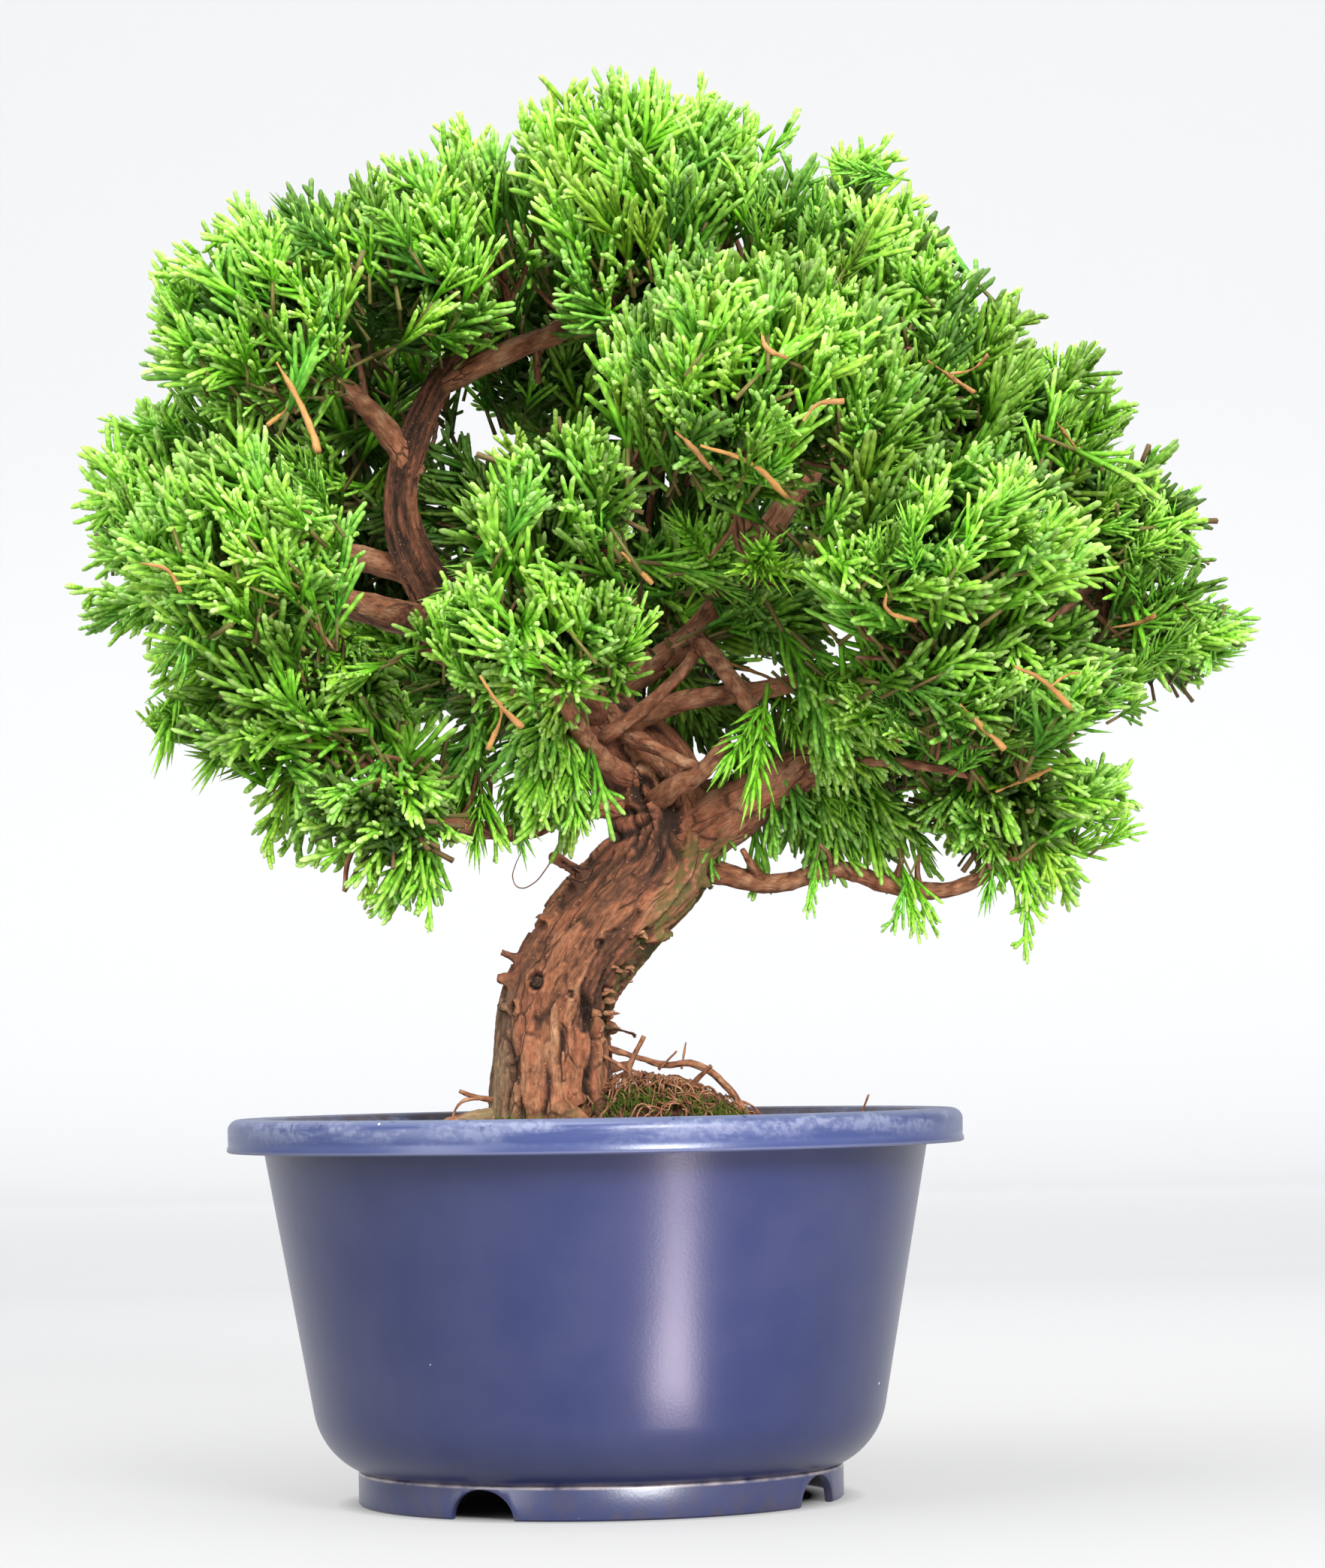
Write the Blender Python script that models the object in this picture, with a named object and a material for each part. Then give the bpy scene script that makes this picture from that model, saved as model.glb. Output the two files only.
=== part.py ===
"""A juniper bonsai in a round moulded training pot, for Blender 4.5.

Metres, +Z up. The whole plant stands on Z = 0, and the origin is under the middle of its bounding box.
Places inside the script are millimetres from the pot's own axis: +X to the tree's right, -Y to its front.
Every wooden piece is a tapering tube. What touches it is cut by the same tube grown by GAP.
"""

import math

import bmesh
import bpy
from mathutils import Matrix, Vector, noise

MM = 0.001
GAP = 0.35  # clearance between neighbouring pieces

# Pot: one injection moulding with a turned-down rim, a round-cornered wall and a notched foot ring.
POT_AXIS = (-17.1, -4.2)  # the pot's axis from the origin
POT_HEIGHT = 81.0
RIM_RADIUS = 77.5
RIM_DEPTH = 7.0
RIM_ROUND = 1.4
WALL = 1.8
WALL_TOP_RADIUS = 69.9
WALL_SLOPE = math.radians(10.1)
CORNER_RADIUS = 16.3  # where the wall turns in to the foot
CORNER_LEVEL = 22.0  # height of that rounding's middle
FOOT_RADIUS = 51.0
FOOT_HEIGHT = 7.0
POT_SIDES = 48
NOTCH_TURN = math.radians(-27.7)  # the first notch, from the front towards +X
NOTCH_COUNT = 4
NOTCH_HALF_WIDTH = 7.3
NOTCH_HEIGHT = 6.3
DRAIN_RADIUS = 4.0
DRAIN_SLOTS = 6
DRAIN_SLOT_SIZE = (20.0, 3.2)
DRAIN_SLOT_MIDDLE = 22.0  # from the axis

# Soil: fills the pot to just under the rim and rises towards the trunk.
SOIL_EDGE_LEVEL = 75.5
SOIL_RISE = 4.0
SOIL_RISE_REACH = 30.0
TRUNK_FOOT = (-10.0, 0.0)
SOIL_RINGS = 7
SOIL_SIDES = 30
MOSS_MIDDLE = (17.0, -2.0)
MOSS_REACH = (24.0, 19.0)
MOSS_HEIGHT = 9.5

# Wood: each route is (x, y, z, radius) in millimetres, from the thick end to the thin end.
TRUNK_ROUTE = [
    (-11, 0, 66, 14.5),
    (-9, 0, 79, 13.2),
    (-8, 0, 92, 12.2),
    (-6.8, 0, 104, 11.6),
    (-1, 0, 116, 11.6),
    (7.5, 1, 126, 11.8),
    (15, 3, 136, 12.2),
    (14, 7, 149, 11.5),
    (3, 11, 162, 10.2),
    (-11, 14, 173, 8.8),
    (-26, 16, 185, 7.4),
    (-36, 16, 198, 5.4),
    (-40, 15, 212, 4.6),
    (-37, 13, 226, 4.2),
    (-29, 10, 241, 3.2),
    (-16, 4, 254, 2.2),
]

# Limb name: (the piece that it grows from, its route).
LIMBS = {
    "limb_right_main": (
        "trunk",
        [(17, 2, 137, 8.0), (28, -1, 142.5, 6.4), (39, -4, 149.5, 5.3), (52, -7, 156, 4.3),
         (68, -10, 163, 3.6), (86, -12, 170, 2.4)],
    ),
    "limb_right_low": (
        "trunk",
        [(18, 2, 133, 3.2), (29, 0, 129.5, 2.6), (39, -1, 127.5, 2.2), (52, -2, 130.5, 2.1),
         (63, -3, 128, 1.9), (76, -4, 127, 1.7), (86, -5, 132, 1.4), (93, -6, 141, 1.0)],
    ),
    "limb_right_far": (
        "limb_right_main",
        [(60, -8, 159.5, 3.0), (78, -2, 172, 2.6), (96, 2, 184, 2.2), (114, 2, 196, 1.5)],
    ),
    "limb_right_back": (
        "trunk",
        [(14, 8, 144, 5.0), (34, 22, 150, 4.0), (55, 34, 160, 3.2), (76, 46, 176, 2.4),
         (88, 54, 190, 1.5)],
    ),
    "limb_middle_right": (
        "trunk",
        [(4, 8, 161, 2.8), (18, -6, 167, 2.3), (33, -12, 168.7, 2.1), (54, -17, 172, 1.8),
         (80, -24, 179, 1.3)],
    ),
    "limb_upper_right": (
        "trunk",
        [(-2, 12, 167, 3.8), (10, 8, 174, 3.2), (22, 5, 182, 3.0), (33, 2, 195, 2.8),
         (46, 0, 214, 2.5), (62, 0, 232, 2.0), (76, 0, 244, 1.4)],
    ),
    "limb_crossing": (
        "limb_upper_right",
        [(22, 5, 182.5, 2.2), (27, -10, 176, 1.9), (32, -20, 168, 1.8), (37, -25, 159, 1.5)],
    ),
    "limb_front": (
        "trunk",
        [(2, 10, 163, 3.4), (0, -10, 172, 2.8), (-4, -34, 188, 2.3), (-5, -54, 206, 1.5)],
    ),
    "limb_front_low": (
        "trunk",
        [(10, 2, 151, 2.6), (3, -13, 155, 2.2), (-3, -32, 163, 1.9), (-8, -54, 174, 1.4)],
    ),
    "limb_front_spur": (
        "trunk",
        [(12, 4, 145, 2.8), (17, -9, 148.5, 2.5), (24, -15, 152.5, 1.9), (29, -19, 158, 1.2)],
    ),
    "limb_left_low": (
        "trunk",
        [(6, 0, 146, 2.8), (-4, -11, 144.5, 2.3), (-15, -20, 140, 2.1), (-29, -26, 142.5, 1.8),
         (-40, -30, 149.5, 1.5), (-54, -32, 160, 1.1)],
    ),
    "limb_left": (
        "trunk",
        [(-24, 16, 184, 4.2), (-42, 6, 188, 3.5), (-58, -12, 192, 2.7), (-70, -30, 198, 1.6)],
    ),
    "limb_left_back": (
        "trunk",
        [(-34, 16, 197, 3.2), (-54, 22, 203, 2.7), (-72, 22, 208, 2.2), (-86, 18, 214, 1.4)],
    ),
    "limb_upper_left": (
        "trunk",
        [(-37.5, 13, 224, 3.0), (-48, 6, 234, 2.5), (-60, -4, 243, 1.9), (-70, -10, 251, 1.3)],
    ),
    "limb_crown_right": (
        "trunk",
        [(-31, 10.5, 238, 2.7), (-10, 4, 246, 2.3), (14, -4, 252, 2.0), (38, -8, 257, 1.4)],
    ),
    "limb_front_right": (
        "limb_upper_right",
        [(33, 2, 196, 2.4), (33, -18, 206, 2.2), (30, -38, 220, 1.9), (28, -54, 234, 1.2)],
    ),
    "limb_back": (
        "trunk",
        [(4, 12, 158, 4.8), (6, 34, 170, 3.8), (8, 56, 188, 2.8), (12, 76, 206, 1.6)],
    ),
    "limb_back_left": (
        "trunk",
        [(-14, 15, 175, 4.0), (-26, 34, 180, 3.2), (-38, 54, 186, 2.4), (-46, 68, 194, 1.5)],
    ),
}

# Roots that show on the soil: (route), each starting inside the trunk's foot.
ROOTS = {
    "root_left": [(-18, -3, 79, 3.4), (-26, -7, 79.5, 2.6), (-34, -11, 77.2, 1.8), (-40, -14, 75.4, 1.0)],
    "root_front": [(-8, -9, 81, 3.4), (-5, -17, 80, 2.8), (-1, -25, 77.5, 2.2), (3, -32, 74.8, 1.4)],
    "root_back": [(-14, 9, 81, 3.4), (-18, 18, 79.5, 2.6), (-24, 27, 77, 1.8), (-29, 34, 74.8, 1.0)],
    "root_right_arch": [
        (-2, -2, 96.5, 1.3),
        (8, -3, 92.9, 1.1),
        (15, -3, 91, 1.1),
        (21, -3, 91, 1.1),
        (27.5, -3, 86.5, 1.0),
        (33, -4, 78.5, 0.9),
    ],
    "root_right_back": [(-4, 8, 83, 2.6), (10, 17, 82, 2.0), (22, 24, 79.5, 1.4), (31, 29, 75.5, 0.9)],
}

# Foliage clouds: (middle, half sizes). Neighbouring clouds are parted by a plane between them.
FOLIAGE = {
    "foliage_apex": ((12, -6, 270), (40, 36, 34)),
    "foliage_crown_left": ((-30, -4, 264), (27, 34, 28)),
    "foliage_crown_right": ((54, -8, 258), (33, 38, 29)),
    "foliage_crown_back": ((4, 48, 252), (46, 36, 32)),
    "foliage_upper_left": ((-66, -16, 250), (29, 36, 27)),
    "foliage_upper_left_back": ((-56, 44, 236), (36, 36, 32)),
    "foliage_upper_right": ((86, -2, 230), (30, 38, 26)),
    "foliage_upper_right_back": ((66, 52, 230), (38, 34, 32)),
    "foliage_front_right": ((36, -62, 228), (36, 34, 28)),
    "foliage_front": ((-2, -66, 206), (23, 22, 15)),
    "foliage_front_low": ((-10, -64, 180), (26, 26, 22)),
    "foliage_left": ((-90, 14, 214), (21, 38, 26)),
    "foliage_left_front": ((-70, -46, 200), (26, 30, 24)),
    "foliage_middle_right": ((72, -56, 196), (36, 36, 22)),
    "foliage_right_far": ((118, -4, 204), (21, 34, 19)),
    "foliage_right_tip": ((124, 8, 180), (21, 32, 13)),
    "foliage_right_back": ((94, 56, 194), (34, 32, 26)),
    "foliage_back": ((16, 78, 206), (40, 26, 34)),
    "foliage_back_left": ((-50, 70, 192), (36, 28, 30)),
    "foliage_left_low": ((-62, -30, 168), (38, 34, 15)),
    "foliage_left_drooping": ((-44, -36, 142), (24, 22, 13)),
    "foliage_right_middle": ((82, -36, 168), (40, 34, 14)),
    "foliage_right_low": ((92, -6, 143), (28, 30, 15)),
    "foliage_right_low_back": ((72, 46, 160), (36, 28, 17)),
}
FOLIAGE_LUMPS = 0.07  # as a share of the cloud's size
FOLIAGE_LUMP_SIZE = 26.0

WOOD_SIDES = 2  # bevel resolution, 8 sides
TRUNK_SIDES = 6  # bevel resolution, 16 sides
ROUTE_STEPS = 3  # rings between two points of a route
BARK_RELIEF = 0.07  # of the trunk's radius
BARK_LUMP_SIZE = 11.0

COLOURS = {
    "pot": ((0.10, 0.12, 0.31), 0.38),
    "soil": ((0.07, 0.045, 0.03), 0.95),
    "moss": ((0.07, 0.11, 0.02), 0.95),
    "bark": ((0.26, 0.12, 0.065), 0.85),
    "foliage": ((0.09, 0.28, 0.03), 0.55),
}


def clear_scene():
    for obj in list(bpy.data.objects):
        bpy.data.objects.remove(obj)


def material(name):
    """The one material of that name, made the first time it is asked for."""
    found = bpy.data.materials.get(name)
    if found:
        return found
    colour, roughness = COLOURS[name]
    made = bpy.data.materials.new(name)
    made.use_nodes = True
    shader = made.node_tree.nodes["Principled BSDF"]
    shader.inputs["Base Color"].default_value = (*colour, 1.0)
    shader.inputs["Roughness"].default_value = roughness
    shader.inputs["Metallic"].default_value = 0.0
    made.diffuse_color = (*colour, 1.0)
    return made


def add_mesh(name, bm, material_name=None, parent=None):
    """An object from a bmesh in millimetres."""
    bmesh.ops.remove_doubles(bm, verts=bm.verts[:], dist=0.001)
    bmesh.ops.recalc_face_normals(bm, faces=bm.faces[:])
    bmesh.ops.scale(bm, vec=(MM, MM, MM), verts=bm.verts[:])
    mesh = bpy.data.meshes.new(name)
    bm.to_mesh(mesh)
    bm.free()
    obj = bpy.data.objects.new(name, mesh)
    bpy.context.scene.collection.objects.link(obj)
    obj.parent = parent
    if material_name:
        mesh.materials.append(material(material_name))
        mesh.shade_smooth()
        mesh.set_sharp_from_angle(angle=math.radians(40))
    return obj


def as_cutter(obj):
    obj.hide_render = True
    obj.display_type = "WIRE"
    return obj


def cut(obj, cutter):
    """obj loses what lies inside cutter."""
    boolean = obj.modifiers.new("clear of " + cutter.name, "BOOLEAN")
    boolean.operation = "DIFFERENCE"
    boolean.solver = "EXACT"
    boolean.object = cutter


def turned(profile, sides):
    """A bmesh turned about Z from a closed profile of (radius, height) points."""
    bm = bmesh.new()
    rings = []
    for step in range(sides):
        turn = 2 * math.pi * step / sides
        rings.append([bm.verts.new((r * math.cos(turn), r * math.sin(turn), z)) for r, z in profile])
    for step in range(sides):
        here, there = rings[step], rings[(step + 1) % sides]
        for k in range(len(profile)):
            after = (k + 1) % len(profile)
            bm.faces.new((here[k], there[k], there[after], here[after]))
    return bm


def arc(middle, radius, start, end, steps):
    """Points on a circle in the (radius, height) plane, angles in degrees."""
    points = []
    for k in range(steps + 1):
        angle = math.radians(start + (end - start) * k / steps)
        points.append((middle[0] + radius * math.cos(angle), middle[1] + radius * math.sin(angle)))
    return points


def wall_radius(height):
    """The outside of the pot's wall at a height."""
    return WALL_TOP_RADIUS - (POT_HEIGHT - RIM_DEPTH - height) * math.tan(WALL_SLOPE)


def corner_middle():
    """The distance from the axis to the middle of the wall's lower rounding."""
    return wall_radius(CORNER_LEVEL) - CORNER_RADIUS / math.cos(WALL_SLOPE)


def pot_profile():
    """The moulding's section: down the outside, under the foot, across the floor and up the inside."""
    slope = math.degrees(WALL_SLOPE)
    corner = (corner_middle(), CORNER_LEVEL)
    foot_inside = FOOT_RADIUS - WALL
    rim_top = (RIM_RADIUS - RIM_ROUND, POT_HEIGHT - RIM_ROUND)
    lip_inside = wall_radius(POT_HEIGHT) - WALL
    outside = arc(rim_top, RIM_ROUND, 90, 0, 2)
    outside += [(RIM_RADIUS - 0.2, POT_HEIGHT - RIM_DEPTH)]
    outside += [(RIM_RADIUS - WALL, POT_HEIGHT - RIM_DEPTH)]
    outside += [(RIM_RADIUS - WALL, POT_HEIGHT - WALL)]
    outside += [(wall_radius(POT_HEIGHT - WALL), POT_HEIGHT - WALL)]
    outside += arc(corner, CORNER_RADIUS, -slope, -66, 5)
    outside += [(FOOT_RADIUS, FOOT_HEIGHT - 0.2), (FOOT_RADIUS, 0.0)]
    outside += [(foot_inside, 0.0), (foot_inside, FOOT_HEIGHT)]
    inside = [(DRAIN_RADIUS, FOOT_HEIGHT), (DRAIN_RADIUS, FOOT_HEIGHT + WALL)]
    inside += arc(corner, CORNER_RADIUS - WALL, -65.5, -slope, 4)
    inside += [(lip_inside, POT_HEIGHT - 1.0), (lip_inside + 0.8, POT_HEIGHT)]
    return outside + inside


def notch_cutter():
    """Half-round tunnels through the foot ring, joined in one mesh."""
    bm = bmesh.new()
    for k in range(NOTCH_COUNT):
        tunnel = bmesh.ops.create_cone(
            bm, cap_ends=True, segments=16, radius1=1.0, radius2=1.0, depth=16.0
        )["verts"]
        bmesh.ops.scale(bm, vec=(NOTCH_HALF_WIDTH, NOTCH_HEIGHT, 1.0), verts=tunnel)
        bmesh.ops.rotate(bm, cent=(0, 0, 0), matrix=Matrix.Rotation(math.pi / 2, 3, "X"), verts=tunnel)
        bmesh.ops.translate(bm, vec=(0, -FOOT_RADIUS, -0.1), verts=tunnel)
        turn = NOTCH_TURN + 2 * math.pi * k / NOTCH_COUNT
        bmesh.ops.rotate(bm, cent=(0, 0, 0), matrix=Matrix.Rotation(turn, 3, "Z"), verts=tunnel)
    return bm


def drain_cutter():
    """Radial slots through the pot's floor."""
    bm = bmesh.new()
    for k in range(DRAIN_SLOTS):
        slot = bmesh.ops.create_cube(bm, size=1.0)["verts"]
        bmesh.ops.scale(bm, vec=(*DRAIN_SLOT_SIZE, 4 * WALL), verts=slot)
        bmesh.ops.translate(bm, vec=(DRAIN_SLOT_MIDDLE, 0, FOOT_HEIGHT + WALL / 2), verts=slot)
        turn = 2 * math.pi * (k + 0.5) / DRAIN_SLOTS
        bmesh.ops.rotate(bm, cent=(0, 0, 0), matrix=Matrix.Rotation(turn, 3, "Z"), verts=slot)
    return bm


def make_pot(parent):
    pot = add_mesh("pot", turned(pot_profile(), POT_SIDES), "pot", parent)
    cut(pot, as_cutter(add_mesh("notch_cutter", notch_cutter(), parent=parent)))
    cut(pot, as_cutter(add_mesh("drain_cutter", drain_cutter(), parent=parent)))


def soil_height(x, y):
    """The soil's surface: level at the wall, rising to the trunk's foot."""
    away = math.hypot(x - TRUNK_FOOT[0], y - TRUNK_FOOT[1])
    rise = SOIL_RISE * math.exp(-((away / SOIL_RISE_REACH) ** 2))
    return SOIL_EDGE_LEVEL + rise + 0.7 * noise.noise(Vector((x, y, 0)) / 9)


def make_soil(parent):
    """The root ball: the pot's inside less a gap, with an uneven top."""
    bm = bmesh.new()
    floor = FOOT_HEIGHT + WALL + GAP
    side = arc((corner_middle(), CORNER_LEVEL), CORNER_RADIUS - WALL - GAP, -65, -11, 3)
    top_radius = wall_radius(SOIL_EDGE_LEVEL - 1) - WALL - GAP
    rings = [(side[0][0], floor)] + side[1:] + [(top_radius, None)]
    rings += [(top_radius * (SOIL_RINGS - k) / SOIL_RINGS, None) for k in range(1, SOIL_RINGS)]
    loops = []
    for radius, height in rings:
        loop = []
        for s in range(SOIL_SIDES):
            turn = 2 * math.pi * s / SOIL_SIDES
            x, y = radius * math.cos(turn), radius * math.sin(turn)
            loop.append(bm.verts.new((x, y, soil_height(x, y) if height is None else height)))
        loops.append(loop)
    for low, high in zip(loops, loops[1:]):
        for s in range(SOIL_SIDES):
            t = (s + 1) % SOIL_SIDES
            bm.faces.new((low[s], low[t], high[t], high[s]))
    bm.faces.new(loops[0][::-1])
    middle = bm.verts.new((0, 0, soil_height(0, 0)))
    for s in range(SOIL_SIDES):
        bm.faces.new((loops[-1][s], loops[-1][(s + 1) % SOIL_SIDES], middle))
    return add_mesh("soil", bm, "soil", parent)


def make_moss(parent):
    """The mossy hump beside the trunk: its underside follows the soil, a gap above it."""
    bm = bmesh.new()
    sides, rings = 18, 4
    tops, bottoms = [], []
    for ring in range(rings + 1):
        share = ring / rings
        top, bottom = [], []
        for s in range(sides if ring else 1):
            turn = 2 * math.pi * s / sides
            reach = share * (1 + 0.12 * math.sin(3 * turn + 1) + 0.06 * math.sin(7 * turn))
            x = MOSS_MIDDLE[0] + MOSS_REACH[0] * reach * math.cos(turn)
            y = MOSS_MIDDLE[1] + MOSS_REACH[1] * reach * math.sin(turn)
            lean = 1 - 0.45 * share * math.cos(turn)
            lump = 1 + 0.25 * noise.noise(Vector((x, y, 5)) / 6)
            ground = soil_height(x, y) + GAP + 0.5
            hump = max(0.6, MOSS_HEIGHT * (1 - share**2) * lean * lump)
            top.append(bm.verts.new((x, y, ground + hump)))
            bottom.append(bm.verts.new((x, y, ground)))
        tops.append(top)
        bottoms.append(bottom)
    for layer, flip in ((tops, False), (bottoms, True)):
        for s in range(sides):
            t = (s + 1) % sides
            corners = (layer[0][0], layer[1][s], layer[1][t])
            bm.faces.new(corners[::-1] if flip else corners)
            for inner, outer in zip(layer[1:], layer[2:]):
                corners = (inner[s], outer[s], outer[t], inner[t])
                bm.faces.new(corners[::-1] if flip else corners)
    for s in range(sides):
        t = (s + 1) % sides
        bm.faces.new((tops[-1][s], bottoms[-1][s], bottoms[-1][t], tops[-1][t]))
    return add_mesh("moss_hump", bm, "moss", parent)


def tube(route, bevel, grow=0.0):
    """A closed tapering tube as a bmesh, on a smooth curve through the route, grown on request."""
    curve = bpy.data.curves.new("route", "CURVE")
    curve.dimensions = "3D"
    curve.bevel_mode = "ROUND"
    curve.bevel_depth = 1.0
    curve.bevel_resolution = bevel
    curve.resolution_u = ROUTE_STEPS
    curve.use_fill_caps = True
    spline = curve.splines.new("BEZIER")
    spline.bezier_points.add(len(route) - 1)
    places = [Vector(place[:3]) for place in route]
    places[0] += (places[0] - places[1]).normalized() * grow
    places[-1] += (places[-1] - places[-2]).normalized() * grow
    for point, place, (_, _, _, radius) in zip(spline.bezier_points, places, route):
        point.co = place
        point.radius = radius + grow
        point.handle_left_type = "AUTO"
        point.handle_right_type = "AUTO"
    guide = bpy.data.objects.new("route", curve)
    bpy.context.scene.collection.objects.link(guide)
    bpy.context.view_layer.update()
    mesh = bpy.data.meshes.new_from_object(guide.evaluated_get(bpy.context.evaluated_depsgraph_get()))
    bm = bmesh.new()
    bm.from_mesh(mesh)
    bpy.data.objects.remove(guide)
    bpy.data.curves.remove(curve)
    bpy.data.meshes.remove(mesh)
    bmesh.ops.remove_doubles(bm, verts=bm.verts[:], dist=0.01)
    return bm


def rough(bm, relief, lump_size):
    """Moves the surface in and out, as old bark does."""
    bm.normal_update()
    moves = [v.normal * relief * noise.noise(v.co / lump_size) for v in bm.verts]
    for vert, move in zip(bm.verts, moves):
        vert.co += move


def make_wood(name, route, bevel, parent, grows_from):
    """A wooden piece and the grown copy that clears a space for it."""
    relief = BARK_RELIEF * route[0][3]
    shape, grown = tube(route, bevel), tube(route, bevel, GAP)
    if name == "trunk":
        rough(shape, relief, BARK_LUMP_SIZE)
        rough(grown, relief, BARK_LUMP_SIZE)
    piece = add_mesh(name, shape, "bark", parent)
    for other in grows_from:
        cut(piece, other)
    return piece, as_cutter(add_mesh("around_" + name, grown, parent=parent))


def cloud_reach(half_sizes, direction):
    """The distance from an ellipsoid's middle to its surface along a direction."""
    return 1.0 / math.sqrt(sum((d / h) ** 2 for d, h in zip(direction, half_sizes)))


def make_foliage(name, parent):
    """One cloud: a lumpy ellipsoid kept on its own side of the planes to its neighbours."""
    middle, half_sizes = Vector(FOLIAGE[name][0]), FOLIAGE[name][1]
    planes = []
    for other, (place, sizes) in FOLIAGE.items():
        if other == name:
            continue
        towards = Vector(place) - middle
        direction = towards.normalized()
        mine, theirs = cloud_reach(half_sizes, direction), cloud_reach(sizes, direction)
        planes.append((direction, towards.length * mine / (mine + theirs) - GAP))
    bm = bmesh.new()
    bmesh.ops.create_icosphere(bm, subdivisions=3, radius=1.0)
    for vert in bm.verts:
        surface = Vector(v * h for v, h in zip(vert.co, half_sizes))
        direction, reach = surface.normalized(), surface.length
        lump = noise.noise((middle + surface) / FOLIAGE_LUMP_SIZE)
        reach *= 1 + FOLIAGE_LUMPS * lump
        for normal, distance in planes:
            facing = direction.dot(normal)
            if facing > 0:
                reach = min(reach, distance / facing)
        vert.co = middle + direction * reach
    return add_mesh(name, bm, "foliage", parent)


def near(route, middle, half_sizes):
    """Whether a wooden route comes near a cloud."""
    reach = max(half_sizes) + 8
    points = [Vector(place[:3]) for place in route]
    between = [(a + b) / 2 for a, b in zip(points, points[1:])]
    return any((p - Vector(middle)).length < reach for p in points + between)


def main():
    clear_scene()
    plant = bpy.data.objects.new("plant", None)
    plant.location = (POT_AXIS[0] * MM, POT_AXIS[1] * MM, 0)
    bpy.context.scene.collection.objects.link(plant)
    make_pot(plant)

    around = {}
    routes = {"trunk": TRUNK_ROUTE}
    _, around["trunk"] = make_wood("trunk", TRUNK_ROUTE, TRUNK_SIDES, plant, [])
    for name, (source, route) in LIMBS.items():
        routes[name] = route
        parents = [around["trunk"]] if source == "trunk" else [around["trunk"], around[source]]
        _, around[name] = make_wood(name, route, WOOD_SIDES, plant, parents)
    for name, route in ROOTS.items():
        routes[name] = route
        _, around[name] = make_wood(name, route, WOOD_SIDES, plant, [around["trunk"]])

    for ground in (make_soil(plant), make_moss(plant)):
        for name in (*ROOTS, "trunk"):
            cut(ground, around[name])

    for name, (middle, half_sizes) in FOLIAGE.items():
        cloud = make_foliage(name, plant)
        for wood in ("trunk", *LIMBS):
            if near(routes[wood], middle, half_sizes):
                cut(cloud, around[wood])


main()
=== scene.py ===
import math
import random

import bpy
import numpy as np
from mathutils import Matrix, Quaternion, Vector, noise


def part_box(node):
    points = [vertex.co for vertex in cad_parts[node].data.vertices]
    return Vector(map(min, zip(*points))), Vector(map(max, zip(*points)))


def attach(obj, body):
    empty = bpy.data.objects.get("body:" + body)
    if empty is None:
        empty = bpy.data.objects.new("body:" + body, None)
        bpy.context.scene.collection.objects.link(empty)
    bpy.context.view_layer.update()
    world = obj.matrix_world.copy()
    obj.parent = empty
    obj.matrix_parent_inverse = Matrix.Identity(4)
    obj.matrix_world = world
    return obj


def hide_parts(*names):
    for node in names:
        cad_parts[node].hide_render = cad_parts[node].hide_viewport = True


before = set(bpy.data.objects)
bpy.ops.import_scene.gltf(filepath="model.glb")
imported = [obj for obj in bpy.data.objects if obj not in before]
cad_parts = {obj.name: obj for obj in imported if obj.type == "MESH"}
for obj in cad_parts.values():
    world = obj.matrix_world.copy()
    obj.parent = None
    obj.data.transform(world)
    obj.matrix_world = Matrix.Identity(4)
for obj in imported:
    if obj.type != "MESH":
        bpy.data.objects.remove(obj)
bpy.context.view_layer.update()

# Everything is in millimetres around the pot's own axis, and place() brings it to its spot in metres.
mm = 0.001
potLow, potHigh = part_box("pot")
potAxis = Vector(((potLow.x + potHigh.x) / 2, (potLow.y + potHigh.y) / 2, 0))


def clearSelection():
    if bpy.context.object and bpy.context.object.mode != "OBJECT":
        bpy.ops.object.mode_set(mode="OBJECT")
    bpy.ops.object.select_all(action="DESELECT")


def pick(*objects):
    clearSelection()
    for obj in objects:
        obj.select_set(True)
    bpy.context.view_layer.objects.active = objects[0]


def joined(objects, name):
    pick(*objects)
    if len(objects) > 1:
        bpy.ops.object.join()
    made = bpy.context.view_layer.objects.active
    made.name = name
    made.data.name = name
    return made


def applyModifiers(obj):
    pick(obj)
    for modifier in list(obj.modifiers):
        bpy.ops.object.modifier_apply(modifier=modifier.name)


def place(obj, material, replaced):  # to metres at its spot, painted, riding on the part
    obj.data.transform(Matrix.Translation(potAxis) @ Matrix.Scale(mm, 4))
    obj.data.update()
    if material:
        obj.data.materials.clear()
        obj.data.materials.append(material)
    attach(obj, "root")
    if replaced:
        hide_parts(*replaced)
    return obj


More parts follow.
